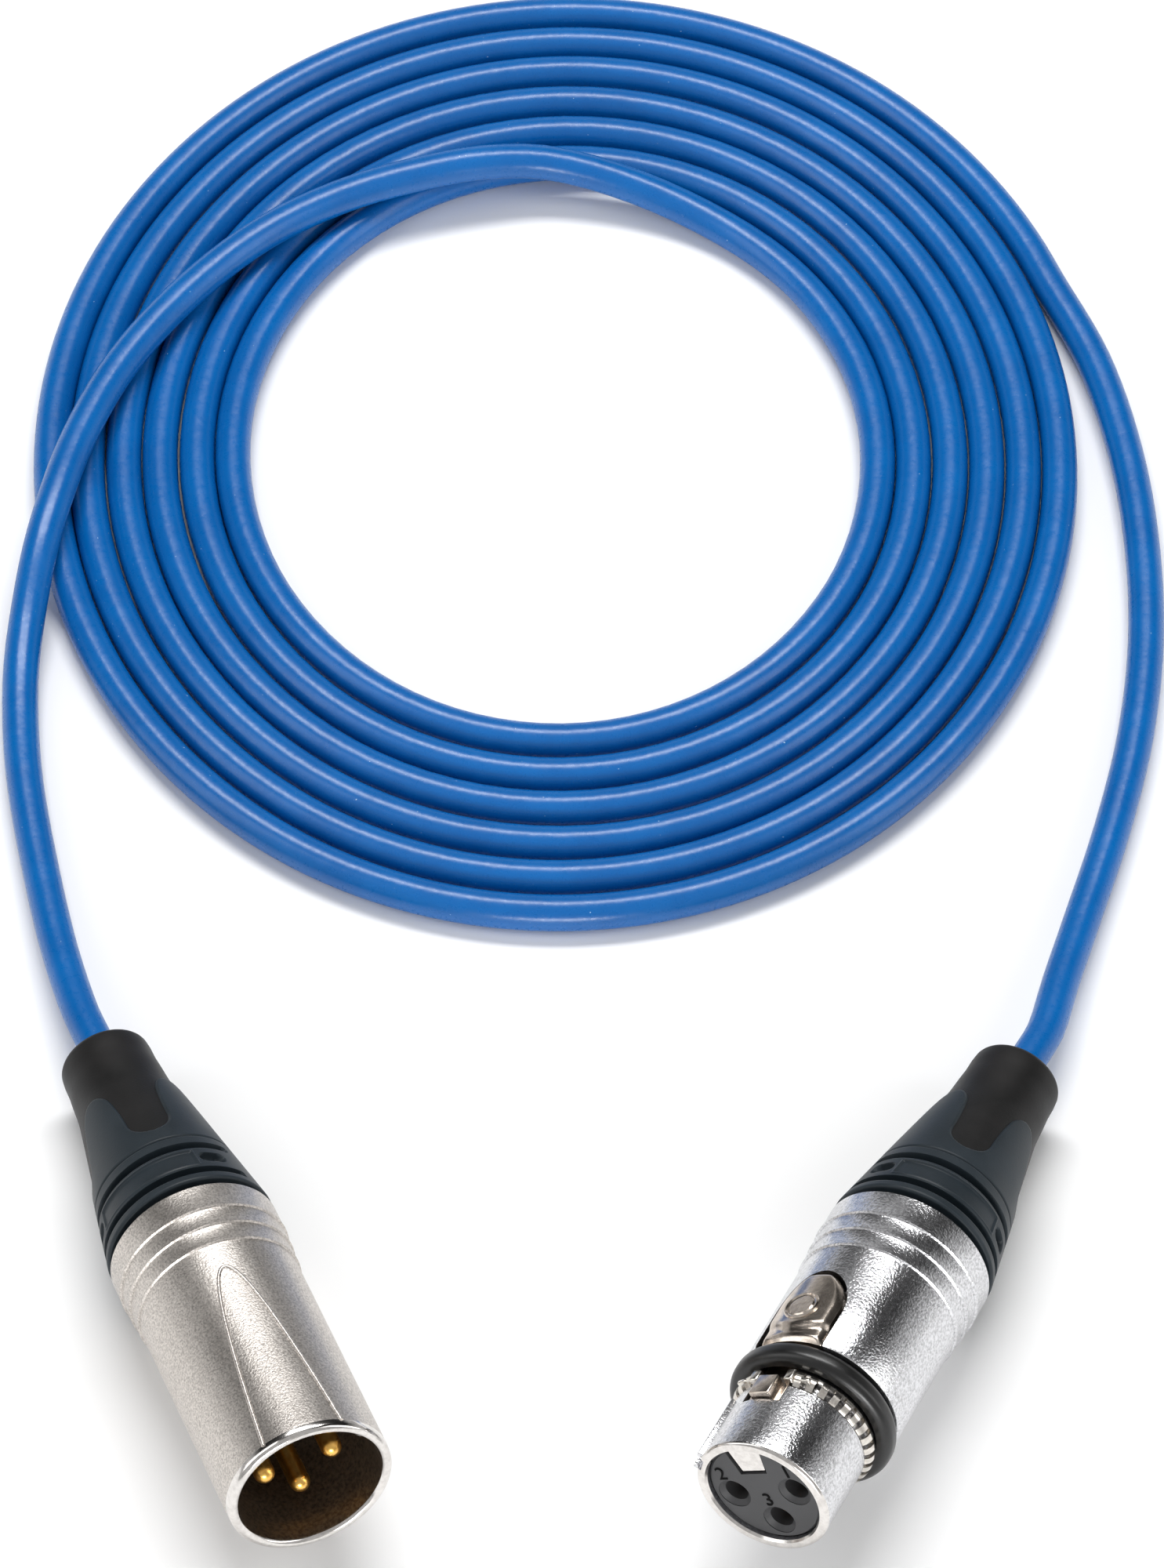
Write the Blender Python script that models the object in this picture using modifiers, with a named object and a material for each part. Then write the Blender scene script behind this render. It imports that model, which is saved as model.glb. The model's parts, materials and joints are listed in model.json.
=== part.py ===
"""A microphone cable wound into a flat coil, with a male and a female three-pole connector.

Frame: metres, +Z up. The coil and both connectors lie on the plane Z = 0, and the origin is on that
plane, midway between the two connectors. Each connector is modelled along its own axis, local Z,
from the cable end of its boot (0) to its mating front, with its key side at local +Y.
"""

import math

import bmesh
import bpy
from mathutils import Matrix, Vector

MM = 0.001
CLEARANCE = 0.3 * MM  # between two pieces that touch
THIN = 0.15 * MM  # between a contact or a pivot and its hole
MERGE = 0.01 * MM

# Cable and coil
CABLE_D = 4.4 * MM
COIL_TURNS = 6
COIL_CENTRE = (0.3 * MM, 128.0 * MM)
COIL_REACH_X = 65.4 * MM  # from the centre to the outermost turn's middle, where the coil starts
COIL_REACH_Y = 74.0 * MM
PITCH_X = CABLE_D + 0.1 * MM  # turns touch at the sides and lie a little looser at the ends
PITCH_Y = CABLE_D + 0.7 * MM
COIL_START_DEG = 22.0
COIL_EDGE_R = CABLE_D * 0.41  # rounding of the coil's edges, where the outer turns curve away

# Contacts, and the radii of what holds them, from the middle of the connector outward
PIN_R = 1.2 * MM
SOCKET_WALL = 0.55 * MM
SOCKET_R = PIN_R + SOCKET_WALL
CONTACT_CIRCLE_R = 4.05 * MM
CONTACTS = {"1": -90.0, "2": 90.0, "3": 180.0}  # clockwise from the key on the male front
INSERT_WALL = 0.5 * MM
NOSE_WALL = 1.25 * MM
SHELL_WALL = 1.3 * MM
MATE_GAP = 0.35 * MM  # between the nose and the cup of a mated pair
NOSE_BORE = CONTACT_CIRCLE_R + SOCKET_R + THIN + INSERT_WALL + CLEARANCE
NOSE_R = NOSE_BORE + NOSE_WALL
MALE_CUP_R = NOSE_R + MATE_GAP
REAR_BORE = NOSE_R + CLEARANCE
SHELL_R = REAR_BORE + SHELL_WALL
RING_R = SHELL_R + 0.35 * MM
OUTSIDE = SHELL_R + 2.4 * MM  # a radius past every piece, for cuts that run out

# Boot: the strain relief cone and its hard nut
BOOT_L = 30.6 * MM
BOOT_R_CABLE = CABLE_D / 2 + 2.75 * MM
BOOT_R_BASE = SHELL_R + 0.45 * MM
BOOT_NOSE = 1.0 * MM  # rounding at the cable end
BOOT_TURN_DEG = {"male": 2.0, "female": -40.0}  # how far each boot is screwed round from the key
BOOT_EDGE = 0.4 * MM
SLOTS_BACK = (2.1 * MM, 6.9 * MM)  # where each slot starts, back from the nut's base
SLOT_DEPTH = 0.9 * MM
SLOT_WIDTH = 0.85 * MM
LINE_BACK = SLOTS_BACK[1] + 1.7 * MM
LINE_WIDTH = 0.3 * MM
PETAL_L = 10.1 * MM
PETAL_VALLEY = BOOT_L - LINE_BACK - 2.3 * MM
PETAL_TIP = PETAL_VALLEY - PETAL_L
PETAL_WALL = 0.9 * MM
PETAL_PROUD = 0.35 * MM
PETALS = 4
PETAL_GAP_ROOT = 5.2 * MM
PETAL_GAP_MOUTH = 10.4 * MM
THREAD_R = REAR_BORE - CLEARANCE
THREAD_WALL = 0.9 * MM
THREAD_BORE = THREAD_R - THREAD_WALL
THREAD_L = 7.9 * MM

# Cable clamp
GLAND_END = PETAL_VALLEY + 2.8 * MM
CHUCK_TAIL = GLAND_END + 0.9 * MM
CHUCK_R = THREAD_BORE - 0.4 * MM
CHUCK_FLANGE_L = 1.2 * MM
CHUCK_FLANGE = BOOT_L + THREAD_L + CLEARANCE
CLAMP_END = CHUCK_FLANGE + CHUCK_FLANGE_L
CORES_L = 5.7 * MM  # bare cores behind the flange
JACKET_STOP = CHUCK_FLANGE - CORES_L  # where the jacket ends inside the clamp and its cores go on
CORE_R = 0.5 * MM
CONTACT_TAIL = CLAMP_END + 1.4 * MM
SOLDER_CUP_L = 3.2 * MM
SOLDER_CUP_R = PIN_R - 0.35 * MM
INSERT_REAR = CONTACT_TAIL + 2.6 * MM

# Shells, along the connector from the boot's cable end
SHELL_START = BOOT_L + 0.7 * MM
STEP_RISE = 0.17 * MM  # each of the three steps behind the barrel
STEP_LENGTHS = (3.9 * MM, 2.5 * MM, 2.5 * MM)
MALE_INSERT_L = 11.0 * MM
CUP_DEPTH = 15.0 * MM
MALE_CUP_FLOOR = INSERT_REAR + MALE_INSERT_L
MALE_L = MALE_CUP_FLOOR + CUP_DEPTH
LIP_L = 1.7 * MM  # the lip that the male insert sits against
LIP_R = MALE_CUP_R - 0.85 * MM
RIM_ROUND = 0.6 * MM
PIN_RECESS = 3.6 * MM
PIN_1_LONGER = 0.5 * MM
KEY_DEG = 50.0  # round from the latch
KEY_HALF = 0.8 * MM
FEMALE_BODY_L = 24.5 * MM
RING_L = 2.7 * MM
NECK_L = 2.4 * MM
NECK_R = NOSE_R - 0.75 * MM
NOSE_L = 9.8 * MM
BODY_END = SHELL_START + FEMALE_BODY_L
RING_START = BODY_END + CLEARANCE
RING_END = RING_START + RING_L
NOSE_START = RING_END + NECK_L
FEMALE_L = NOSE_START + NOSE_L
FEMALE_FACE = FEMALE_L - 0.7 * MM  # the insert's front
SOCKET_SUNK = 3.4 * MM
GROUND_FINGERS = 30

# Latch
PIVOT_BACK = 9.3 * MM  # from the shell's front back to the pivot
PIVOT = (NOSE_R - 1.2 * MM, BODY_END - PIVOT_BACK)  # across and along the connector
PIVOT_R = 0.6 * MM
NOSE_REAR = PIVOT[1] - 2.3 * MM
LEVER_BACK = 1.6 * MM  # how far the button runs behind the pivot
LEVER_HALF = 4.1 * MM
LEVER_TOP = SHELL_R + 0.35 * MM
LEVER_SOLE = NOSE_R - 0.5 * MM
TONGUE_HALF = 2.1 * MM
TONGUE_TOP = NOSE_R - 0.6 * MM
TONGUE_SOLE = NOSE_BORE - 1.05 * MM
TONGUE_ROOM = 2.5 * MM  # how far below its sole the tongue can swing
HOOK_HALF = 1.3 * MM
HOOK_L = 2.15 * MM
BADGE_R = 2.0 * MM
BADGE_PAST_PIVOT = 4.1 * MM
BADGE_DEPTH = 0.5 * MM

# Where the connectors lie: cable end, heading about Z and roll about the axis, with an upward tilt
TILT_DEG = 8.0
MALE_PLACE = (-53.0 * MM, 33.9 * MM, 21.8, 0.0)
FEMALE_PLACE = (53.0 * MM, 31.6 * MM, -25.9, -32.0)

# Routes of the cable's two tails outside the coil, from the coil to just behind the boots
TUBE_Z = CABLE_D / 2 + 0.05 * MM
OVER_Z = CABLE_D * 1.5 + CLEARANCE
FEMALE_ROUTE = [
    (66.3 * MM, 142.7 * MM, TUBE_Z),
    (69.7 * MM, 127.6 * MM, TUBE_Z),
    (71.1 * MM, 112.7 * MM, TUBE_Z),
    (70.9 * MM, 98.1 * MM, TUBE_Z),
    (69.0 * MM, 83.7 * MM, TUBE_Z),
    (65.6 * MM, 69.6 * MM, TUBE_Z + 0.1 * MM),
    (61.4 * MM, 55.8 * MM, TUBE_Z + 0.5 * MM),
    (58.6 * MM, 46.5 * MM, TUBE_Z + 1.4 * MM),
]
MALE_ROUTE = [
    (-10.0 * MM, 171.5 * MM, OVER_Z),
    (-19.0 * MM, 169.3 * MM, OVER_Z),
    (-28.2 * MM, 165.6 * MM, OVER_Z),
    (-37.5 * MM, 159.6 * MM, OVER_Z),
    (-46.6 * MM, 150.2 * MM, OVER_Z),
    (-54.6 * MM, 138.2 * MM, OVER_Z),
    (-59.4 * MM, 126.5 * MM, OVER_Z),
    (-62.0 * MM, 116.5 * MM, OVER_Z),
    (-63.5 * MM, 109.5 * MM, TUBE_Z + 3.8 * MM),
    (-64.6 * MM, 102.5 * MM, TUBE_Z + 1.9 * MM),
    (-65.3 * MM, 94.5 * MM, TUBE_Z + 0.5 * MM),
    (-65.1 * MM, 86.0 * MM, TUBE_Z),
    (-64.1 * MM, 76.6 * MM, TUBE_Z),
    (-61.5 * MM, 62.7 * MM, TUBE_Z + 0.3 * MM),
    (-58.8 * MM, 50.9 * MM, TUBE_Z + 1.1 * MM),
]
STRAIGHT = (0.0, 4.0 * MM, 8.0 * MM)  # the cable leaves each boot straight
CLIMB_DEG = (50.0, 128.0)  # the angles over which the inner end would climb its neighbour
CLIMB_END_DEG = 95  # where its own route takes over from the climb
TUBE_STEP = 9.0 * MM

TURN_STEPS = 32
SHELL_STEPS = 40
CONTACT_STEPS = 16


def clear_scene():
    for old in list(bpy.data.objects):
        bpy.data.objects.remove(old)


def make_collection(name):
    made = bpy.data.collections.new(name)
    bpy.context.scene.collection.children.link(made)
    return made


def material(name, colour, roughness, metallic=0.0):
    made = bpy.data.materials.get(name) or bpy.data.materials.new(name)
    made.use_nodes = True
    shader = made.node_tree.nodes["Principled BSDF"]
    shader.inputs["Base Color"].default_value = (*colour, 1.0)
    shader.inputs["Roughness"].default_value = roughness
    shader.inputs["Metallic"].default_value = metallic
    made.diffuse_color = (*colour, 1.0)
    return made


JACKET = ("blue_jacket", (0.0, 0.145, 0.46), 0.42)
RUBBER = ("black_rubber", (0.012, 0.012, 0.013), 0.6)
NYLON = ("slate_nylon", (0.022, 0.03, 0.038), 0.5)
NICKEL = ("satin_nickel", (0.62, 0.59, 0.56), 0.36, 1.0)
CHROME = ("bright_nickel", (0.68, 0.68, 0.69), 0.24, 1.0)
WARM_NICKEL = ("warm_nickel", (0.55, 0.5, 0.45), 0.28, 1.0)
GOLD = ("gold_plate", (0.83, 0.52, 0.16), 0.22, 1.0)
INSULATOR = ("black_insulator", (0.02, 0.02, 0.021), 0.5)
CLAMP = ("white_clamp", (0.72, 0.72, 0.69), 0.45)
STEEL = ("spring_steel", (0.5, 0.5, 0.5), 0.3, 1.0)
WIRE_COLOURS = {
    "1": ("bare_screen", (0.72, 0.42, 0.28), 0.4, 1.0),
    "2": ("red_wire", (0.5, 0.02, 0.02), 0.45),
    "3": ("white_wire", (0.75, 0.75, 0.73), 0.45),
}


def finish(piece, parent, look):
    """Parents a piece, gives it its material and files it with the parts."""
    piece.parent = parent
    piece.data.materials.clear()
    piece.data.materials.append(material(*look))
    PARTS.objects.link(piece)
    return piece


def as_cutter(piece, parent):
    piece.parent = parent
    piece.hide_render = True
    piece.display_type = "WIRE"
    CUTTERS.objects.link(piece)
    return piece


def turned(name, profile, steps=TURN_STEPS):
    """A body turned about local Z. The profile is (radius, height) pairs that run down the outer side."""
    mesh = bpy.data.meshes.new(name)
    outline = bmesh.new()
    corners = [outline.verts.new((radius, 0.0, height)) for radius, height in profile]
    on_axis = profile[0][0] == 0.0 and profile[-1][0] == 0.0
    for first, second in zip(corners, corners[1:] + ([] if on_axis else corners[:1])):
        outline.edges.new((first, second))
    outline.to_mesh(mesh)
    outline.free()
    made = bpy.data.objects.new(name, mesh)
    screw = made.modifiers.new("turn", "SCREW")
    screw.axis = "Z"
    screw.angle = math.tau
    screw.steps = steps
    screw.render_steps = steps
    screw.use_merge_vertices = True
    screw.merge_threshold = MERGE
    screw.use_smooth_shade = True
    return made


def plain_mesh(source, name):
    """The mesh that a curve or a modified object makes, with its caps joined, as a new object."""
    HOLDING.objects.link(source)
    bpy.context.view_layer.update()
    graph = bpy.context.evaluated_depsgraph_get()
    mesh = bpy.data.meshes.new_from_object(source.evaluated_get(graph))
    shape = bmesh.new()
    shape.from_mesh(mesh)
    bmesh.ops.remove_doubles(shape, verts=shape.verts, dist=MERGE)
    shape.to_mesh(mesh)
    shape.free()
    made = bpy.data.objects.new(name, mesh)
    made.matrix_world = source.matrix_world
    bpy.data.objects.remove(source)
    return made


def tube(name, points, radius, resolution=2):
    """A round rod or cable along a run of points, as a curve."""
    curve = bpy.data.curves.new(name, "CURVE")
    curve.dimensions = "3D"
    curve.bevel_depth = radius
    curve.bevel_resolution = resolution
    curve.use_fill_caps = True
    spline = curve.splines.new("POLY")
    spline.points.add(len(points) - 1)
    for point, place in zip(spline.points, points):
        point.co = (*place, 1.0)
    return bpy.data.objects.new(name, curve)


def flat_outline(name, loops, thickness):
    """A flat plate in local XY, centred on z = 0, with one or more closed loops as its outline."""
    curve = bpy.data.curves.new(name, "CURVE")
    curve.dimensions = "2D"
    curve.fill_mode = "BOTH"
    curve.extrude = thickness / 2
    for loop in loops:
        spline = curve.splines.new("POLY")
        spline.points.add(len(loop) - 1)
        for point, (x, y) in zip(spline.points, loop):
            point.co = (x, y, 0.0, 1.0)
        spline.use_cyclic_u = True
    return bpy.data.objects.new(name, curve)


def block(name, low, high, turn_deg=0.0):
    """A box between two corners, turned about local Z."""
    mesh = bpy.data.meshes.new(name)
    shape = bmesh.new()
    size = [b - a for a, b in zip(low, high)]
    middle = Vector([(a + b) / 2 for a, b in zip(low, high)])
    turn = Matrix.Rotation(math.radians(turn_deg), 4, "Z")
    place = turn @ Matrix.Translation(middle) @ Matrix.Diagonal((*size, 1.0))
    bmesh.ops.create_cube(shape, size=1.0, matrix=place)
    shape.to_mesh(mesh)
    shape.free()
    return bpy.data.objects.new(name, mesh)


def rod(name, radius, length, matrix, sides=24):
    """A cylinder centred on a matrix's origin, along its Z, with no corner on the matrix's X or Y."""
    mesh = bpy.data.meshes.new(name)
    shape = bmesh.new()
    off_corner = Matrix.Rotation(math.pi / sides * 0.8, 4, "Z")
    bmesh.ops.create_cone(
        shape,
        cap_ends=True,
        segments=sides,
        radius1=radius,
        radius2=radius,
        depth=length,
        matrix=matrix @ off_corner,
    )
    shape.to_mesh(mesh)
    shape.free()
    return bpy.data.objects.new(name, mesh)


def boolean(piece, other, operation="DIFFERENCE"):
    step = piece.modifiers.new(operation.lower(), "BOOLEAN")
    step.operation = operation
    step.object = other
    step.solver = "EXACT"
    return piece


def smooth_route(points, step):
    """Points a step apart along a smooth curve through the given ones (centripetal Catmull-Rom)."""
    places = [Vector(p) for p in points]
    places = [places[0] * 2 - places[1]] + places + [places[-1] * 2 - places[-2]]
    fine = []
    per_span = 24
    for a, b, c, d in zip(places, places[1:], places[2:], places[3:]):
        knots = [0.0]
        for first, second in ((a, b), (b, c), (c, d)):
            knots.append(knots[-1] + math.sqrt((second - first).length))
        for k in range(per_span):
            t = knots[1] + (knots[2] - knots[1]) * k / per_span
            ab = a.lerp(b, (t - knots[0]) / (knots[1] - knots[0]))
            bc = b.lerp(c, (t - knots[1]) / (knots[2] - knots[1]))
            cd = c.lerp(d, (t - knots[2]) / (knots[3] - knots[2]))
            abc = ab.lerp(bc, (t - knots[0]) / (knots[2] - knots[0]))
            bcd = bc.lerp(cd, (t - knots[1]) / (knots[3] - knots[1]))
            fine.append(abc.lerp(bcd, (t - knots[1]) / (knots[2] - knots[1])))
    fine.append(places[-2])
    length = sum((second - first).length for first, second in zip(fine, fine[1:]))
    count = max(2, round(length / step))
    spaced = [fine[0]]
    run = 0.0
    for first, second in zip(fine, fine[1:]):
        hop = (second - first).length
        while len(spaced) < count and run + hop >= length * len(spaced) / count:
            spaced.append(first.lerp(second, (length * len(spaced) / count - run) / hop))
        run += hop
    spaced.append(fine[-1])
    return spaced


def boot_radius(along):
    """The boot's outer radius at a distance from its cable end."""
    share = (along - BOOT_NOSE) / (BOOT_L - CLEARANCE - BOOT_NOSE)
    return BOOT_R_CABLE + (BOOT_R_BASE - BOOT_R_CABLE) * share


def rest_height():
    """The height of a connector's cable end when the boot's base edge rests on Z = 0."""
    edge = BOOT_L - BOOT_EDGE
    tilt = math.radians(TILT_DEG)
    return boot_radius(edge) * math.cos(tilt) - edge * math.sin(tilt)


def connector_frame(name, place):
    """An empty on a connector's axis at its cable end: local Z to the front, local Y to the key side."""
    x, y, heading_deg, roll_deg = place
    position = (x, y, rest_height())
    heading, tilt = math.radians(heading_deg), math.radians(TILT_DEG)
    level = math.cos(tilt)
    front = Vector((math.sin(heading) * level, -math.cos(heading) * level, math.sin(tilt)))
    up = (Vector((0, 0, 1)) - front * front.z).normalized()
    side = up.cross(front)
    basis = Matrix((side, up, front)).transposed()
    basis = basis @ Matrix.Rotation(-math.radians(roll_deg), 3, "Z")
    frame = bpy.data.objects.new(name, None)
    frame.empty_display_size = 10 * MM
    frame.location = position
    frame.rotation_euler = basis.to_euler()
    PARTS.objects.link(frame)
    return frame, Matrix.Translation(position) @ basis.to_4x4()


def petal_cutter(prefix, name, index, parent, shrink):
    """One of the rounded gaps between the nut's petals, as a plug that reaches out from the axis."""
    half_mouth = PETAL_GAP_MOUTH / 2 - shrink
    half_root = PETAL_GAP_ROOT / 2 - shrink
    bottom = PETAL_VALLEY - shrink
    flare = PETAL_GAP_MOUTH - PETAL_GAP_ROOT
    right = [
        (half_mouth + 0.3 * flare, PETAL_TIP - 0.2 * PETAL_L),
        (half_mouth, PETAL_TIP + 0.06 * PETAL_L),
        (half_mouth - 0.25 * flare, PETAL_TIP + 0.3 * PETAL_L),
    ]
    arc = []
    arc_steps = 8
    for k in range(arc_steps + 1):
        angle = math.pi * k / arc_steps
        arc.append((half_root * math.cos(angle), bottom - half_root + half_root * math.sin(angle)))
    left = [(-x, y) for x, y in reversed(right)]
    reach = OUTSIDE
    plate = flat_outline(name, [right + arc + left], reach)
    plug = plain_mesh(plate, name)
    # The outline's X stays across, its Y goes along the connector and its thickness points outward.
    stand = Matrix.Rotation(math.radians(90), 4, "X") @ Matrix.Translation((0, 0, -reach / 2))
    turn = Matrix.Rotation(math.tau * index / PETALS + math.radians(BOOT_TURN_DEG[prefix]), 4, "Z")
    plug.data.transform(turn @ stand)
    return as_cutter(plug, parent)


def boot_sleeve(name, depth, start, end):
    """A turned sleeve along the boot's cone, from a depth under its surface to well outside it."""
    proud = OUTSIDE - BOOT_R_BASE
    return turned(
        name,
        [
            (boot_radius(end) + proud, end),
            (boot_radius(start) + proud, start),
            (boot_radius(start) - depth, start),
            (boot_radius(end) - depth, end),
        ],
    )


def boot_nut(prefix, parent):
    """The hard nut: petals over the rubber, two slots round it, and a threaded sleeve."""
    slots = []
    for back in SLOTS_BACK:
        start = BOOT_L - back
        floor = boot_radius(start) - SLOT_DEPTH
        slots += [
            (boot_radius(start + SLOT_WIDTH), start + SLOT_WIDTH),
            (floor, start + SLOT_WIDTH),
            (floor, start),
            (boot_radius(start), start),
        ]
    line = BOOT_L - LINE_BACK
    thread_end = BOOT_L + THREAD_L
    inner_start = PETAL_VALLEY + 2.0 * MM
    bore_start = BOOT_L - SLOTS_BACK[1] + CLEARANCE
    profile = [
        (THREAD_R, thread_end - BOOT_EDGE),
        (THREAD_R, BOOT_L),
        (boot_radius(BOOT_L) - BOOT_EDGE, BOOT_L),
        (boot_radius(BOOT_L - BOOT_EDGE), BOOT_L - BOOT_EDGE),
        *slots,
        (boot_radius(line + LINE_WIDTH), line + LINE_WIDTH),
        (boot_radius(line) - LINE_WIDTH, line + LINE_WIDTH / 2),
        (boot_radius(line), line),
        (boot_radius(PETAL_TIP), PETAL_TIP),
        (boot_radius(PETAL_TIP) - PETAL_WALL, PETAL_TIP),
        (boot_radius(inner_start) - PETAL_WALL, inner_start),
        (THREAD_BORE, bore_start),
        (THREAD_BORE, thread_end),
        (THREAD_R - BOOT_EDGE, thread_end),
    ]
    nut = turned(f"{prefix}_boot_nut", profile)
    for index in range(PETALS):
        boolean(nut, petal_cutter(prefix, f"{prefix}_petal_gap_{index + 1}", index, parent, 0.0))
    return finish(nut, parent, NYLON)


def boot_gland(prefix, parent):
    """The soft cone that grips the cable, sunk where the nut's petals lie over it."""
    bore = CABLE_D / 2 + CLEARANCE
    under = PETAL_WALL + CLEARANCE
    sunk = under + 0.05 * MM
    taper = 1.0 * MM
    profile = [
        (boot_radius(GLAND_END) - sunk - taper / 2, GLAND_END),
        (boot_radius(GLAND_END - taper) - sunk, GLAND_END - taper),
        (boot_radius(PETAL_VALLEY) - sunk, PETAL_VALLEY + MERGE),
        (boot_radius(PETAL_VALLEY) - PETAL_PROUD, PETAL_VALLEY - CLEARANCE / 2),
        (BOOT_R_CABLE, BOOT_NOSE),
        (BOOT_R_CABLE - 0.3 * BOOT_NOSE, 0.3 * BOOT_NOSE),
        (BOOT_R_CABLE - 0.8 * BOOT_NOSE, 0.0),
        (bore, 0.0),
        (bore, GLAND_END),
    ]
    gland = turned(f"{prefix}_boot_gland", profile)
    sleeve = boot_sleeve(f"{prefix}_petal_seat", under, PETAL_TIP - CLEARANCE, PETAL_VALLEY + taper / 2)
    as_cutter(sleeve, parent)
    for index in range(PETALS):
        boolean(sleeve, petal_cutter(prefix, f"{prefix}_seat_gap_{index + 1}", index, parent, CLEARANCE))
    boolean(gland, sleeve)
    return finish(gland, parent, RUBBER)


def chuck(prefix, parent):
    """The clamp: a sleeve round the cable, split into four jaws that the nut's cone closes."""
    bore = CABLE_D / 2 + CLEARANCE
    wall = 1.2 * MM
    cone_l = 4.0 * MM
    jaws_l = 8.0 * MM
    profile = [
        (REAR_BORE - CLEARANCE, CLAMP_END),
        (REAR_BORE - CLEARANCE, CHUCK_FLANGE),
        (CHUCK_R, CHUCK_FLANGE),
        (CHUCK_R, CHUCK_TAIL + cone_l),
        (bore + wall, CHUCK_TAIL),
        (bore, CHUCK_TAIL),
        (bore, JACKET_STOP),
        (CHUCK_R - wall, CLAMP_END),
    ]
    made = turned(f"{prefix}_chuck", profile, 24)
    half_cut = 0.5 * MM
    for index in range(2):
        cut = block(
            f"{prefix}_jaw_cut_{index + 1}",
            (-OUTSIDE, -half_cut, CHUCK_TAIL - jaws_l),
            (OUTSIDE, half_cut, CHUCK_TAIL + jaws_l),
            90.0 * index,
        )
        boolean(made, as_cutter(cut, parent))
    return finish(made, parent, CLAMP)


def cable_end(prefix, parent):
    """The end of the jacket inside the connector, held by the clamp."""
    points = [(0, 0, 0), (0, 0, JACKET_STOP)]
    return finish(tube(f"{prefix}_cable_end", points, CABLE_D / 2, 4), parent, JACKET)


def contact_place(number, mirror):
    angle = math.radians(CONTACTS[number])
    return Vector((mirror * math.sin(angle) * CONTACT_CIRCLE_R, math.cos(angle) * CONTACT_CIRCLE_R, 0.0))


def wires(prefix, parent, mirror):
    """Three cores from the end of the jacket into the contacts' solder cups."""
    start = JACKET_STOP + CLEARANCE
    for number in CONTACTS:
        far = contact_place(number, mirror)
        near = far.normalized() * 2.2 * CORE_R
        route = [
            (near.x, near.y, start),
            (near.x, near.y, start + 0.45 * CORES_L),
            (far.x, far.y, CONTACT_TAIL - 1.2 * MM),
            (far.x, far.y, CONTACT_TAIL + 0.7 * SOLDER_CUP_L),
        ]
        points = smooth_route(route, 1.3 * MM)
        finish(tube(f"{prefix}_wire_{number}", points, CORE_R, 1), parent, WIRE_COLOURS[number])


def shell_rear():
    """The outer line of the stepped rear of a shell, from front to rear."""
    edge = 0.25 * MM
    ends = [SHELL_START + sum(STEP_LENGTHS[: k + 1]) for k in range(len(STEP_LENGTHS))]
    line = []
    for steps_up, end in enumerate(reversed(ends)):
        radius = SHELL_R + STEP_RISE * steps_up
        line += [(radius, end), (radius + STEP_RISE, end - edge)]
    widest = SHELL_R + STEP_RISE * len(ends)
    return line + [(widest, SHELL_START + edge), (widest - edge, SHELL_START)]


def male_shell(parent):
    lip_start = MALE_CUP_FLOOR - LIP_L
    profile = [
        (MALE_CUP_R + 0.4 * RIM_ROUND, MALE_L),
        (SHELL_R - 0.5 * RIM_ROUND, MALE_L),
        (SHELL_R - 0.12 * RIM_ROUND, MALE_L - 0.5 * RIM_ROUND),
        (SHELL_R, MALE_L - 1.4 * RIM_ROUND),
        *shell_rear(),
        (REAR_BORE, SHELL_START),
        (REAR_BORE, lip_start),
        (LIP_R, lip_start),
        (LIP_R, MALE_CUP_FLOOR),
        (MALE_CUP_R, MALE_CUP_FLOOR),
        (MALE_CUP_R, MALE_L - 0.7 * RIM_ROUND),
    ]
    shell = turned("male_shell", profile, SHELL_STEPS)
    seat_half = HOOK_HALF + 1.0 * MM
    seat_front = MALE_L - 5.0 * MM
    seat_l = HOOK_L + 1.35 * MM
    latch_seat = block(
        "male_latch_seat",
        (-seat_half, MALE_CUP_R - 1.0 * MM, seat_front - seat_l),
        (seat_half, MALE_CUP_R + SHELL_WALL / 2, seat_front),
    )
    boolean(shell, as_cutter(latch_seat, parent))
    key = block(
        "male_key_rib",
        (-KEY_HALF, MALE_CUP_R - 0.45 * MM, MALE_CUP_FLOOR + 2.0 * MM),
        (KEY_HALF, MALE_CUP_R + SHELL_WALL / 3, MALE_L - 1.5 * MM),
        -KEY_DEG,
    )
    boolean(shell, as_cutter(key, parent), "UNION")
    return finish(shell, parent, NICKEL)


def male_insert(parent):
    seat_r = REAR_BORE - CLEARANCE
    skirt_r = seat_r - 0.8 * MM
    step = MALE_CUP_FLOOR - LIP_L - CLEARANCE
    face = MALE_CUP_FLOOR + CLEARANCE
    skirt = CLAMP_END + CLEARANCE
    profile = [
        (0.0, face),
        (LIP_R - CLEARANCE, face),
        (LIP_R - CLEARANCE, step),
        (seat_r, step),
        (seat_r, skirt),
        (skirt_r, skirt),
        (skirt_r, INSERT_REAR),
        (0.0, INSERT_REAR),
    ]
    insert = turned("male_insert", profile)
    for number in CONTACTS:
        place = contact_place(number, 1)
        place.z = (face + INSERT_REAR) / 2
        hole = rod(f"male_pin_hole_{number}", PIN_R + THIN, 2 * MALE_INSERT_L, Matrix.Translation(place))
        boolean(insert, as_cutter(hole, parent))
    return finish(insert, parent, INSULATOR)


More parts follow.
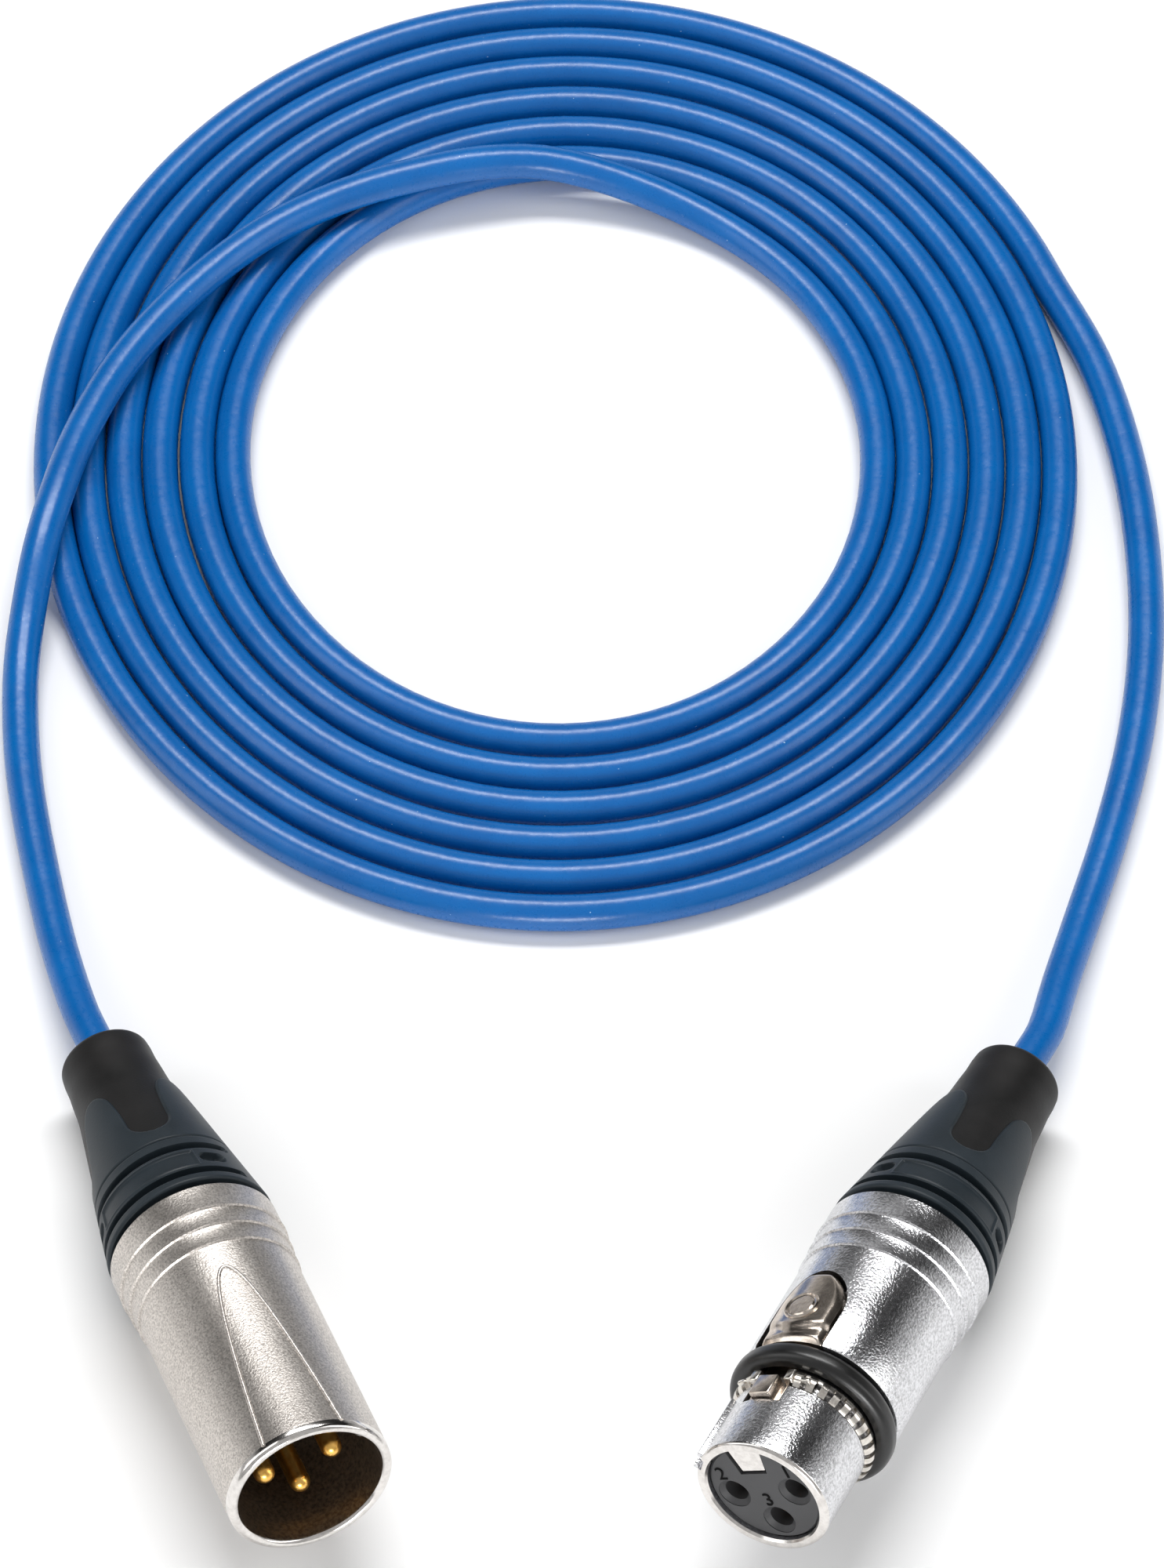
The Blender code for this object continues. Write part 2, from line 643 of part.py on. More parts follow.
def male_pins(parent):
    for number in CONTACTS:
        tip = MALE_L - PIN_RECESS + (PIN_1_LONGER if number == "1" else 0.0)
        dome = []
        for degrees in (0, 22.5, 45, 67.5, 90):
            angle = math.radians(degrees)
            dome.append((PIN_R * math.sin(angle), tip - PIN_R * (1 - math.cos(angle))))
        profile = dome + [
            (PIN_R, CONTACT_TAIL),
            (SOLDER_CUP_R, CONTACT_TAIL),
            (SOLDER_CUP_R, CONTACT_TAIL + SOLDER_CUP_L),
            (0.0, CONTACT_TAIL + SOLDER_CUP_L),
        ]
        pin = turned(f"male_pin_{number}", profile, CONTACT_STEPS)
        pin.location = contact_place(number, 1)
        finish(pin, parent, GOLD)


def female_shell(parent):
    edge = 0.6 * MM
    profile = [
        (REAR_BORE + 0.8 * edge, BODY_END),
        (SHELL_R - 0.8 * edge, BODY_END),
        (SHELL_R, BODY_END - edge),
        *shell_rear(),
        (REAR_BORE, SHELL_START),
        (REAR_BORE, BODY_END - 0.8 * edge),
    ]
    shell = turned("female_shell", profile, SHELL_STEPS)
    boolean(shell, lever_plug("female_lever_window", parent, CLEARANCE, BODY_END + RING_L))
    return finish(shell, parent, CHROME)


def arch_outline(half, start, end):
    """An arch with its round top toward the boot, as (across, along) points."""
    rise = half * 1.25
    arc_steps = 10
    points = [(half, end)]
    for k in range(arc_steps + 1):
        angle = math.pi * k / arc_steps
        points.append((half * math.cos(angle), start + rise - rise * math.sin(angle)))
    return points + [(-half, end)]


def lever_plug(name, parent, grow, end):
    """A plug in the outline of the latch's button, standing out from the connector's axis."""
    bottom, top = NOSE_R - 3.0 * MM, OUTSIDE
    outline = arch_outline(LEVER_HALF + grow, PIVOT[1] - LEVER_BACK - grow, end)
    plug = plain_mesh(flat_outline(name, [outline], top - bottom), name)
    # The outline's X stays across, its Y goes along the connector and its thickness points to +Y.
    stand = Matrix(((1, 0, 0, 0), (0, 0, -1, 0), (0, 1, 0, 0), (0, 0, 0, 1)))
    plug.data.transform(Matrix.Translation((0, (top + bottom) / 2, 0)) @ stand)
    return as_cutter(plug, parent)


def side_plate(name, outline, half):
    """A plate across the connector, from its (height, along) outline."""
    plate = plain_mesh(flat_outline(name, [outline], 2 * half), name)
    # The outline's X points to +Y, its Y goes along the connector and its thickness is across.
    plate.data.transform(Matrix(((0, 0, 1, 0), (1, 0, 0, 0), (0, 1, 0, 0), (0, 0, 0, 1))))
    return plate


def pivot_rod(name, radius, half):
    """A rod across the connector on the latch's axis."""
    across = Matrix.Translation((0, PIVOT[0], PIVOT[1])) @ Matrix.Rotation(math.radians(90), 4, "Y")
    return rod(name, radius, 2 * half, across, 16)


def female_nose(parent):
    """The front barrel: plug nose, neck for the contact ring, and a tube back into the shell."""
    neck_start = RING_END + CLEARANCE
    edge = 0.8 * MM
    profile = [
        (NOSE_BORE + 0.25 * edge, FEMALE_L),
        (NOSE_R - 0.9 * edge, FEMALE_L),
        (NOSE_R - 0.25 * edge, FEMALE_L - 0.3 * edge),
        (NOSE_R, FEMALE_L - edge),
        (NOSE_R, NOSE_START),
        (NECK_R, NOSE_START),
        (NECK_R, neck_start),
        (REAR_BORE - CLEARANCE, neck_start),
        (REAR_BORE - CLEARANCE, NOSE_REAR),
        (NOSE_BORE, NOSE_REAR),
        (NOSE_BORE, FEMALE_L - 0.4 * edge),
    ]
    nose = turned("female_nose", profile, SHELL_STEPS)
    half = TONGUE_HALF + 0.4 * MM
    slot_front = NOSE_START + HOOK_L + 0.45 * MM
    slot = block("female_tongue_slot", (-half, PIN_R, NOSE_REAR - NOSE_L), (half, OUTSIDE, slot_front))
    boolean(nose, as_cutter(slot, parent))
    half = LEVER_HALF + CLEARANCE
    well_rear = PIVOT[1] + 1.8 * MM
    well = block("female_button_well", (-half, PIN_R, well_rear), (half, OUTSIDE, BODY_END + CLEARANCE))
    boolean(nose, as_cutter(well, parent))
    boolean(nose, as_cutter(pivot_rod("female_pivot_hole", PIVOT_R + THIN, OUTSIDE), parent))
    half = 1.9 * MM
    land_front = FEMALE_FACE - 0.7 * MM
    land = block(
        "female_key_land",
        (-half, CONTACT_CIRCLE_R - 0.95 * MM, land_front - 4.6 * MM),
        (half, NOSE_BORE + CLEARANCE, land_front),
    )
    boolean(nose, as_cutter(land, parent), "UNION")
    half = KEY_HALF + 0.2 * MM
    groove = block(
        "female_key_groove",
        (-half, NOSE_R - 0.55 * MM, NOSE_START - CLEARANCE),
        (half, OUTSIDE, FEMALE_L + CLEARANCE),
        KEY_DEG,
    )
    boolean(nose, as_cutter(groove, parent))
    return finish(nose, parent, CHROME)


def female_insert(parent):
    body_r = NOSE_BORE - CLEARANCE
    edge = 0.3 * MM
    profile = [
        (0.0, FEMALE_FACE),
        (body_r - edge, FEMALE_FACE),
        (body_r, FEMALE_FACE - edge),
        (body_r, INSERT_REAR),
        (0.0, INSERT_REAR),
    ]
    insert = turned("female_insert", profile)
    half = TONGUE_HALF + 0.5 * MM
    keyway_rear = NOSE_START + 2.8 * MM
    channel_front = keyway_rear + 0.2 * MM
    floor = TONGUE_SOLE - TONGUE_ROOM
    channel = block("female_channel", (-half, floor, INSERT_REAR - NOSE_L), (half, OUTSIDE, channel_front))
    boolean(insert, as_cutter(channel, parent))
    half = 2.3 * MM
    floor = CONTACT_CIRCLE_R - 1.35 * MM
    keyway = block("female_keyway", (-half, floor, keyway_rear), (half, OUTSIDE, FEMALE_L))
    boolean(insert, as_cutter(keyway, parent))
    seat_top = FEMALE_FACE - SOCKET_SUNK
    seat_l = seat_top - INSERT_REAR
    for number in CONTACTS:
        place = contact_place(number, -1)
        place.z = FEMALE_FACE
        mouth_r = PIN_R + 0.25 * MM
        mouth = rod(f"female_mouth_{number}", mouth_r, 2.6 * SOCKET_SUNK, Matrix.Translation(place))
        boolean(insert, as_cutter(mouth, parent))
        place.z = seat_top - seat_l
        seat = rod(f"female_seat_{number}", SOCKET_R + THIN, 2 * seat_l, Matrix.Translation(place))
        boolean(insert, as_cutter(seat, parent))
    return finish(insert, parent, INSULATOR)


def female_sockets(parent):
    front = FEMALE_FACE - SOCKET_SUNK - CLEARANCE
    bore = PIN_R + 0.05 * MM
    bore_floor = front - 12.0 * MM
    waist = CONTACT_TAIL + 3.0 * MM
    for number in CONTACTS:
        profile = [
            (0.0, bore_floor),
            (bore, bore_floor),
            (bore, front),
            (SOCKET_R, front),
            (SOCKET_R, waist),
            (PIN_R, waist),
            (PIN_R, CONTACT_TAIL),
            (SOLDER_CUP_R, CONTACT_TAIL),
            (SOLDER_CUP_R, CONTACT_TAIL + SOLDER_CUP_L),
            (0.0, CONTACT_TAIL + SOLDER_CUP_L),
        ]
        socket = turned(f"female_socket_{number}", profile, CONTACT_STEPS)
        socket.location = contact_place(number, -1)
        finish(socket, parent, GOLD)


def female_ring(parent):
    """The rubber ring in front of the shell, which quiets the mated connector."""
    rounding = 0.5 * MM
    profile = [
        (REAR_BORE, RING_END),
        (RING_R - rounding, RING_END),
        (RING_R, RING_END - rounding),
        (RING_R, RING_START + rounding),
        (RING_R - rounding, RING_START),
        (REAR_BORE, RING_START),
    ]
    return finish(turned("female_ring", profile), parent, RUBBER)


def ground_ring(parent):
    """The sprung contact ring on the nose's neck: a split band with a comb of fingers."""
    start = RING_END + 2 * CLEARANCE
    end = NOSE_START - CLEARANCE
    inner = NECK_R + CLEARANCE
    outer = NOSE_R + 0.35 * MM
    band = 0.6 * MM
    finger_gap = 0.75 * MM
    profile = [(outer, end), (outer, start), (inner, start), (inner, end)]
    ring = turned("female_ground_ring", profile)
    cutters = bpy.data.meshes.new("female_comb")
    shape = bmesh.new()
    size = Matrix.Diagonal((finger_gap, 4 * (outer - inner), end - start, 1.0))
    place = Matrix.Translation((0, outer, (start + end) / 2 + band))
    for index in range(GROUND_FINGERS):
        turn = Matrix.Rotation(math.tau * (index + 0.5) / GROUND_FINGERS, 4, "Z")
        bmesh.ops.create_cube(shape, size=1.0, matrix=turn @ place @ size)
    shape.to_mesh(cutters)
    shape.free()
    comb = bpy.data.objects.new("female_comb", cutters)
    boolean(ring, as_cutter(comb, parent))
    half = TONGUE_HALF + 0.7 * MM
    opening = block("female_ring_gap", (-half, PIN_R, RING_START), (half, OUTSIDE, FEMALE_L))
    boolean(ring, as_cutter(opening, parent))
    return finish(ring, parent, STEEL)


def latch_lever(parent, pivot):
    """A button in the shell's window, and a tongue with a hook ahead of the ring."""
    height, along = PIVOT
    step = along + 2.1 * MM
    rear = along - 2 * LEVER_BACK
    profile = [
        (LEVER_TOP, BODY_END),
        (LEVER_TOP, rear),
        (REAR_BORE, rear),
        (REAR_BORE, step),
        (LEVER_SOLE, step),
        (LEVER_SOLE, BODY_END),
    ]
    lever = turned("female_latch_lever", profile, SHELL_STEPS)
    boolean(lever, lever_plug("female_button_shape", parent, 0.0, BODY_END - 0.4 * MM), "INTERSECT")
    hook_start = NOSE_START + THIN
    hook_end = hook_start + HOOK_L
    hub_top, hub_sole, hub_half = height + 1.0 * MM, height - 1.4 * MM, 1.3 * MM
    web = SHELL_R - 0.7 * MM
    tongue = side_plate(
        "female_tongue",
        [
            (hub_top, along - hub_half),
            (hub_top, along + hub_half / 2),
            (web, along + 2.2 * MM),
            (web, BODY_END - 1.5 * MM),
            (TONGUE_TOP, BODY_END - CLEARANCE),
            (TONGUE_TOP, hook_end),
            (TONGUE_SOLE, hook_end),
            (TONGUE_SOLE, along + 4.0 * MM),
            (hub_sole, along + 1.5 * MM),
            (hub_sole, along - hub_half),
        ],
        TONGUE_HALF,
    )
    boolean(lever, as_cutter(tongue, parent), "UNION")
    hook_low = (TONGUE_SOLE + TONGUE_TOP) / 2 - 0.5 * MM
    hook_top = NOSE_R + 0.7 * MM
    hook = block("female_hook", (-HOOK_HALF, hook_low, hook_start), (HOOK_HALF, hook_top, hook_end))
    boolean(lever, as_cutter(hook, parent), "UNION")
    boolean(lever, as_cutter(pivot_rod("female_lever_hole", PIVOT_R + THIN, OUTSIDE), parent))
    for side in (-1, 1):
        low, high = sorted((side * TONGUE_HALF / 2, side * 1.4 * TONGUE_HALF))
        pocket = block(
            f"female_spring_pocket_{side + 1}",
            (low, 0.5 * height, along - 2 * LEVER_BACK),
            (high, height + 1.5 * MM, along + 1.75 * MM),
        )
        boolean(lever, as_cutter(pocket, parent))
    badge_seat = badge_rod("female_badge_seat", BADGE_R + CLEARANCE, LEVER_TOP - BADGE_DEPTH, OUTSIDE, 24)
    boolean(lever, as_cutter(badge_seat, parent))
    finish(lever, pivot, WARM_NICKEL)
    lever.location = (0, -height, -along)


def badge_rod(name, radius, low, high, sides):
    """A disc or a plug through the middle of the button, between two heights."""
    upright = Matrix.Rotation(math.radians(-90), 4, "X")
    place = Matrix.Translation((0, (low + high) / 2, PIVOT[1] + BADGE_PAST_PIVOT))
    return rod(name, radius, high - low, place @ upright, sides)


def latch_badge(pivot):
    """The blank disc let into the button."""
    low = LEVER_TOP - BADGE_DEPTH + CLEARANCE
    badge = badge_rod("female_latch_badge", BADGE_R, low, low + BADGE_DEPTH, 32)
    finish(badge, pivot, WARM_NICKEL)
    badge.location = (0, -PIVOT[0], -PIVOT[1])


def latch_spring(parent):
    """A torsion spring beside the lever's hub, round the pivot pin."""
    turns, per_turn = 2.25, 12
    wire_r = 0.13 * MM
    reach = PIVOT_R + THIN + 2 * wire_r
    start = 2 / 3 * TONGUE_HALF
    length = 0.8 * MM
    coil = []
    steps = int(turns * per_turn)
    for k in range(steps + 1):
        angle = math.tau * k / per_turn
        across = start + length * k / steps
        coil.append((across, PIVOT[0] + reach * math.cos(angle), PIVOT[1] + reach * math.sin(angle)))
    return finish(tube("female_latch_spring", coil, wire_r, 1), parent, STEEL)


def latch(parent):
    """The sprung lever on its pivot, with its badge, pin and spring."""
    pivot = bpy.data.objects.new("latch_pivot", None)
    pivot.empty_display_size = 5 * MM
    pivot.parent = parent
    pivot.location = (0, *PIVOT)
    PARTS.objects.link(pivot)
    latch_lever(parent, pivot)
    latch_badge(pivot)
    # The pin ends inside the shell's bore.
    pin_half = math.sqrt(REAR_BORE**2 - (PIVOT[0] + PIVOT_R) ** 2) - CLEARANCE
    finish(pivot_rod("female_latch_pin", PIVOT_R, pin_half), parent, STEEL)
    latch_spring(parent)


def coil_point(index, angle_deg):
    """The middle of a turn: index counts pitches inward, and the angle is the ellipse's own."""
    angle = math.radians(angle_deg)
    return (
        COIL_CENTRE[0] + (COIL_REACH_X - PITCH_X * index) * math.cos(angle),
        COIL_CENTRE[1] + (COIL_REACH_Y - PITCH_Y * index) * math.sin(angle),
    )


def cable_coil():
    """The wound part as one plate: the spiral's outer and inner edges, each with one step."""
    steps = 72
    loops = []
    for edge in (-0.5, COIL_TURNS - 0.5):
        loops.append(
            [coil_point(edge + k / steps, COIL_START_DEG + 360 * k / steps) for k in range(steps + 1)]
        )
    plate = flat_outline("cable_coil", loops, CABLE_D - 2 * COIL_EDGE_R)
    plate.data.bevel_depth = COIL_EDGE_R
    plate.data.bevel_resolution = 1
    plate.data.offset = -COIL_EDGE_R
    plate.location = (0, 0, CABLE_D / 2)
    return finish(plate, None, JACKET)


def coil_exit(index, side):
    """The first point of a tail, a clearance from the coil's end at that index."""
    here = Vector((*coil_point(index, COIL_START_DEG), TUBE_Z))
    ahead = Vector((*coil_point(index, COIL_START_DEG + side), TUBE_Z))
    return here + (ahead - here).normalized() * CLEARANCE


def climb():
    """The inner end's way from the floor up onto the innermost turn."""
    points = []
    last_turn = COIL_TURNS - 1
    step_deg = 9
    for angle in range(int(COIL_START_DEG) + step_deg, CLIMB_END_DEG, step_deg):
        share = min(1.0, max(0.0, (angle - CLIMB_DEG[0]) / (CLIMB_DEG[1] - CLIMB_DEG[0])))
        lift = math.pi / 2 * share * share * (3 - 2 * share)
        index = last_turn + (angle - COIL_START_DEG) / 360 + math.cos(lift)
        points.append((*coil_point(index, angle), TUBE_Z + (OVER_Z - TUBE_Z) * math.sin(lift)))
    return points


def tails(male_matrix, female_matrix):
    """The two free stretches of the cable, from the coil to the boots."""
    female_end = [female_matrix @ Vector((0, 0, -CLEARANCE - back)) for back in reversed(STRAIGHT)]
    route = [coil_exit(0, -1), *FEMALE_ROUTE, *female_end]
    finish(tube("cable_tail_female", smooth_route(route, TUBE_STEP), CABLE_D / 2), None, JACKET)
    male_end = [male_matrix @ Vector((0, 0, -CLEARANCE - back)) for back in reversed(STRAIGHT)]
    route = [coil_exit(COIL_TURNS, 1), *climb(), *MALE_ROUTE, *male_end]
    finish(tube("cable_tail_male", smooth_route(route, TUBE_STEP), CABLE_D / 2), None, JACKET)


def common_pieces(prefix, parent, mirror):
    boot_nut(prefix, parent)
    boot_gland(prefix, parent)
    chuck(prefix, parent)
    cable_end(prefix, parent)
    wires(prefix, parent, mirror)


def build():
    male, male_matrix = connector_frame("male_frame", MALE_PLACE)
    female, female_matrix = connector_frame("female_frame", FEMALE_PLACE)
    common_pieces("male", male, 1)
    male_shell(male)
    male_insert(male)
    male_pins(male)
    common_pieces("female", female, -1)
    female_shell(female)
    female_nose(female)
    female_insert(female)
    female_sockets(female)
    female_ring(female)
    ground_ring(female)
    latch(female)
    cable_coil()
    tails(male_matrix, female_matrix)


clear_scene()
PARTS = make_collection("xlr_cable_coil")
CUTTERS = make_collection("cutters")
HOLDING = bpy.context.scene.collection
build()
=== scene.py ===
"""Looks for a coiled microphone cable with a male and a female three-pole connector.

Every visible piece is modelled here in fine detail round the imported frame. A connector's pieces are made
along its own axis, local Z from the boot's cable end to the front and local Y to the key side, and are then
placed with the frame that its joints give.
"""

import json
import math

import bmesh
import bpy
from mathutils import Matrix, Vector


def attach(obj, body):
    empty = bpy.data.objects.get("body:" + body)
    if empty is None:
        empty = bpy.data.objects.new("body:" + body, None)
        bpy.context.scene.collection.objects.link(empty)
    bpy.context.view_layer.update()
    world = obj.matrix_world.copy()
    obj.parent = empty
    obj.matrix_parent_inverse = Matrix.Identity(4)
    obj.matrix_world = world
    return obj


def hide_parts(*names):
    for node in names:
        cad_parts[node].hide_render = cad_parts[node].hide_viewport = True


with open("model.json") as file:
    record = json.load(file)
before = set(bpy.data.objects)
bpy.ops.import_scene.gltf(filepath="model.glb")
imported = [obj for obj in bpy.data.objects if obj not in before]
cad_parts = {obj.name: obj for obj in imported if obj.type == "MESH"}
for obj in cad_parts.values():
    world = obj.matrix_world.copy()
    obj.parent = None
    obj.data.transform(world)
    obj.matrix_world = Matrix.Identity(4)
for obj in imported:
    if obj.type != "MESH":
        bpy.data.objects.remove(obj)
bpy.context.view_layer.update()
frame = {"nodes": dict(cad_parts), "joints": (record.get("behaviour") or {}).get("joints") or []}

MM = 0.001
ROOT = "cable_and_shells"

# Camera
CAMERA_PLACE = (0.0025, -0.487806, 0.751248)
CAMERA_TARGET = (0.0025, 0.0783, 0.0)
LENS_MM = 180.0
SENSOR_MM = 36.0

# Room: two dark patches at the back, placed and sized by direction, in a pale room
PATCH_ASIDE = 0.52
PATCH_HEIGHT = 0.62
PATCH_REACH = (0.50, 0.42)
PATCH_FADE = (0.35, 1.6)  # squared distance from a patch's middle where the fade begins and ends
PATCH_GLOW = 0.01
ROOM_GLOW = 0.46

# Cable: the coil and the routes of its two tails, as in the part
CABLE_D = 4.4 * MM
COIL_TURNS = 6
COIL_CENTRE = (0.3 * MM, 128.0 * MM)
COIL_REACH_X = 65.4 * MM
COIL_REACH_Y = 74.0 * MM
PITCH_X = CABLE_D + 0.1 * MM
PITCH_Y = CABLE_D + 0.7 * MM
COIL_START_DEG = 22.0
TUBE_Z = CABLE_D / 2 + 0.05 * MM
OVER_Z = CABLE_D * 1.5 + 0.3 * MM
FEMALE_ROUTE = [
    (66.3 * MM, 142.7 * MM, TUBE_Z),
    (69.7 * MM, 127.6 * MM, TUBE_Z),
    (71.1 * MM, 112.7 * MM, TUBE_Z),
    (70.9 * MM, 98.1 * MM, TUBE_Z),
    (69.0 * MM, 83.7 * MM, TUBE_Z),
    (65.6 * MM, 69.6 * MM, TUBE_Z + 0.1 * MM),
    (61.4 * MM, 55.8 * MM, TUBE_Z + 0.5 * MM),
    (58.6 * MM, 46.5 * MM, TUBE_Z + 1.4 * MM),
]
MALE_ROUTE = [
    (-10.0 * MM, 171.5 * MM, OVER_Z),
    (-19.0 * MM, 169.3 * MM, OVER_Z),
    (-28.2 * MM, 165.6 * MM, OVER_Z),
    (-37.5 * MM, 159.6 * MM, OVER_Z),
    (-46.6 * MM, 150.2 * MM, OVER_Z),
    (-54.6 * MM, 138.2 * MM, OVER_Z),
    (-59.4 * MM, 126.5 * MM, OVER_Z),
    (-62.0 * MM, 116.5 * MM, OVER_Z),
    (-63.5 * MM, 109.5 * MM, TUBE_Z + 3.8 * MM),
    (-64.6 * MM, 102.5 * MM, TUBE_Z + 1.9 * MM),
    (-65.3 * MM, 94.5 * MM, TUBE_Z + 0.5 * MM),
    (-65.1 * MM, 86.0 * MM, TUBE_Z),
    (-64.1 * MM, 76.6 * MM, TUBE_Z),
    (-61.5 * MM, 62.7 * MM, TUBE_Z + 0.3 * MM),
    (-58.8 * MM, 50.9 * MM, TUBE_Z + 1.1 * MM),
]
STRAIGHT = (-1.5 * MM, 4.0 * MM, 8.0 * MM)  # behind the boot's mouth; the first is just inside it
CLIMB_DEG = (50.0, 128.0)
CLIMB_END_DEG = 95
TURN_POINTS = 90  # along each turn of the coil

# Boot
BOOT_L = 30.6 * MM
BOOT_R_CABLE = 4.95 * MM
BOOT_R_BASE = 10.05 * MM
BOOT_NOSE = 1.0 * MM
PETALS = 4
PETAL_TIP = 9.6 * MM
PETAL_VALLEY = 19.7 * MM
PETAL_PROUD = 0.35 * MM
PETAL_ROOT = 2.5 * MM  # half width of the gap between two petals near its bottom
PETAL_MOUTH = 3.4 * MM
PETAL_ROUND = 2.6 * MM
PETAL_EDGE = 0.5 * MM  # how wide a petal's soft edge is
GAP_SINK = 0.9 * MM  # how far the skin drops between two petals
SKIN_ROW = 0.16 * MM  # between rows of the nut's skin on the petals
SKIN_ROW_FINE = 0.11 * MM  # and over the slots
GLAND_SWELL = 0.45 * MM  # how far the soft cone swells toward its mouth
LINE_AT = 22.1 * MM
LINE_DEPTH = 0.22 * MM
LINE_HALF = 0.2 * MM
SLOT_AT = (24.1 * MM, 28.9 * MM)
SLOT_HALF = 0.42 * MM
SLOT_DEPTH = 1.1 * MM
SLOT_SPAN_DEG = 74.0
PANEL_AT = (25.15 * MM, 27.85 * MM)
PANEL_SPAN_DEG = 43.0
PANEL_LINE = 0.16 * MM
PANEL_RELIEF = 0.12 * MM
RECESS_DEG = (47.0, 66.0)
RECESS_HALF = 0.75 * MM
RECESS_DEPTH = 0.9 * MM
PETAL_TURN_DEG = {"male": 0.0, "female": 40.0}  # a gap's place, from the key toward local +X
PANEL_TURN_DEG = {"male": -26.0, "female": 48.0}

# Shells
SHELL_START = 31.3 * MM
SHELL_R = 9.6 * MM
SHELL_BORE = 8.3 * MM
STEP_RISE = 0.17 * MM
STEP_ENDS = (35.2 * MM, 37.7 * MM, 40.2 * MM)
MALE_L = 70.0 * MM
MALE_CUP_R = 8.35 * MM
MALE_CUP_FLOOR = 55.0 * MM
KEY_DEG = 50.0
BODY_END = 55.8 * MM
RING_START = 56.1 * MM
RING_END = 58.8 * MM
RING_R = 9.95 * MM
NOSE_START = 61.2 * MM
NOSE_R = 8.0 * MM
NOSE_BORE = 6.75 * MM
NECK_R = 7.25 * MM
FEMALE_L = 71.0 * MM
FEMALE_FACE = 70.3 * MM
CONTACT_CIRCLE_R = 4.05 * MM
PIN_R = 1.2 * MM
CONTACT_TAIL = 41.4 * MM
CONTACTS = {"1": -90.0, "2": 90.0, "3": 180.0}

# Latch
LEVER_START = 44.9 * MM
LEVER_END = 55.4 * MM
LEVER_HALF = 4.1 * MM
LEVER_TOP = SHELL_R + 0.35 * MM
BADGE_AT = 50.6 * MM


# ---------------------------------------------------------------- mesh helpers


def keep(name, shape, material):
    mesh = bpy.data.meshes.new(name)
    shape.to_mesh(mesh)
    shape.free()
    mesh.shade_smooth()
    mesh.materials.append(material)
    made = bpy.data.objects.new(name, mesh)
    bpy.context.scene.collection.objects.link(made)
    return made


def sharp(piece, degrees=32.0):
    piece.data.set_sharp_from_angle(angle=math.radians(degrees))
    return piece


def turned(name, profile, material, steps=144, closed=True):
    """A body turned about local Z; the profile is (radius, height) pairs down the outer side."""
    shape = bmesh.new()
    rings = []
    for radius, height in profile:
        if radius == 0.0:
            rings.append([shape.verts.new((0.0, 0.0, height))])
            continue
        angles = [math.tau * k / steps for k in range(steps)]
        rings.append([shape.verts.new((radius * math.cos(a), radius * math.sin(a), height)) for a in angles])
    on_axis = len(rings[0]) == 1 and len(rings[-1]) == 1
    pairs = list(zip(rings, rings[1:]))
    if closed and not on_axis:
        pairs.append((rings[-1], rings[0]))
    for upper, lower in pairs:
        for k in range(steps):
            n = (k + 1) % steps
            if len(upper) == 1:
                shape.faces.new((upper[0], lower[k], lower[n]))
            elif len(lower) == 1:
                shape.faces.new((upper[n], upper[k], lower[0]))
            else:
                shape.faces.new((upper[n], upper[k], lower[k], lower[n]))
    return sharp(keep(name, shape, material))


def block(name, low, high, material=None, turn_deg=0.0, bevel=0.0):
    shape = bmesh.new()
    size = [b - a for a, b in zip(low, high)]
    middle = Vector([(a + b) / 2 for a, b in zip(low, high)])
    turn = Matrix.Rotation(math.radians(turn_deg), 4, "Z")
    place = turn @ Matrix.Translation(middle) @ Matrix.Diagonal((*size, 1.0))
    bmesh.ops.create_cube(shape, size=1.0, matrix=place)
    if bevel:
        bmesh.ops.bevel(shape, geom=shape.edges[:], offset=bevel, segments=3, profile=0.5, affect="EDGES")
    return keep(name, shape, material)


def tube(name, points, radius, material, resolution=4, cyclic=False):
    curve = bpy.data.curves.new(name, "CURVE")
    curve.dimensions = "3D"
    curve.bevel_depth = radius
    curve.bevel_resolution = resolution
    curve.use_fill_caps = True
    spline = curve.splines.new("POLY")
    spline.points.add(len(points) - 1)
    for point, place in zip(spline.points, points):
        point.co = (*place, 1.0)
    spline.use_cyclic_u = cyclic
    spline.use_smooth = True
    curve.materials.append(material)
    made = bpy.data.objects.new(name, curve)
    bpy.context.scene.collection.objects.link(made)
    return made


def extruded(name, outline, low, high, axes, material):
    """A flat outline of (a, b) points stood up between two depths; axes maps (a, b, depth) to local XYZ."""
    shape = bmesh.new()
    near = [shape.verts.new(axes @ Vector((a, b, low))) for a, b in outline]
    far = [shape.verts.new(axes @ Vector((a, b, high))) for a, b in outline]
    shape.faces.new(near)
    shape.faces.new(list(reversed(far)))
    count = len(outline)
    for k in range(count):
        n = (k + 1) % count
        shape.faces.new((near[n], near[k], far[k], far[n]))
    bmesh.ops.recalc_face_normals(shape, faces=shape.faces[:])
    return keep(name, shape, material)


def carve(piece, cutters, operation="DIFFERENCE"):
    """Cuts or joins other bodies and keeps the result as plain mesh."""
    for cutter in cutters:
        step = piece.modifiers.new("carve", "BOOLEAN")
        step.operation = operation
        step.object = cutter
        step.solver = "EXACT"
    bpy.context.view_layer.update()
    graph = bpy.context.evaluated_depsgraph_get()
    mesh = bpy.data.meshes.new_from_object(piece.evaluated_get(graph))
    mesh.shade_smooth()
    piece.modifiers.clear()
    piece.data = mesh
    for cutter in cutters:
        bpy.data.objects.remove(cutter)
    return sharp(piece)


def rounded(piece, width, segments=3, degrees=35.0):
    bevel = piece.modifiers.new("edges", "BEVEL")
    bevel.width = width
    bevel.segments = segments
    bevel.limit_method = "ANGLE"
    bevel.angle_limit = math.radians(degrees)
    bevel.harden_normals = True
    return piece


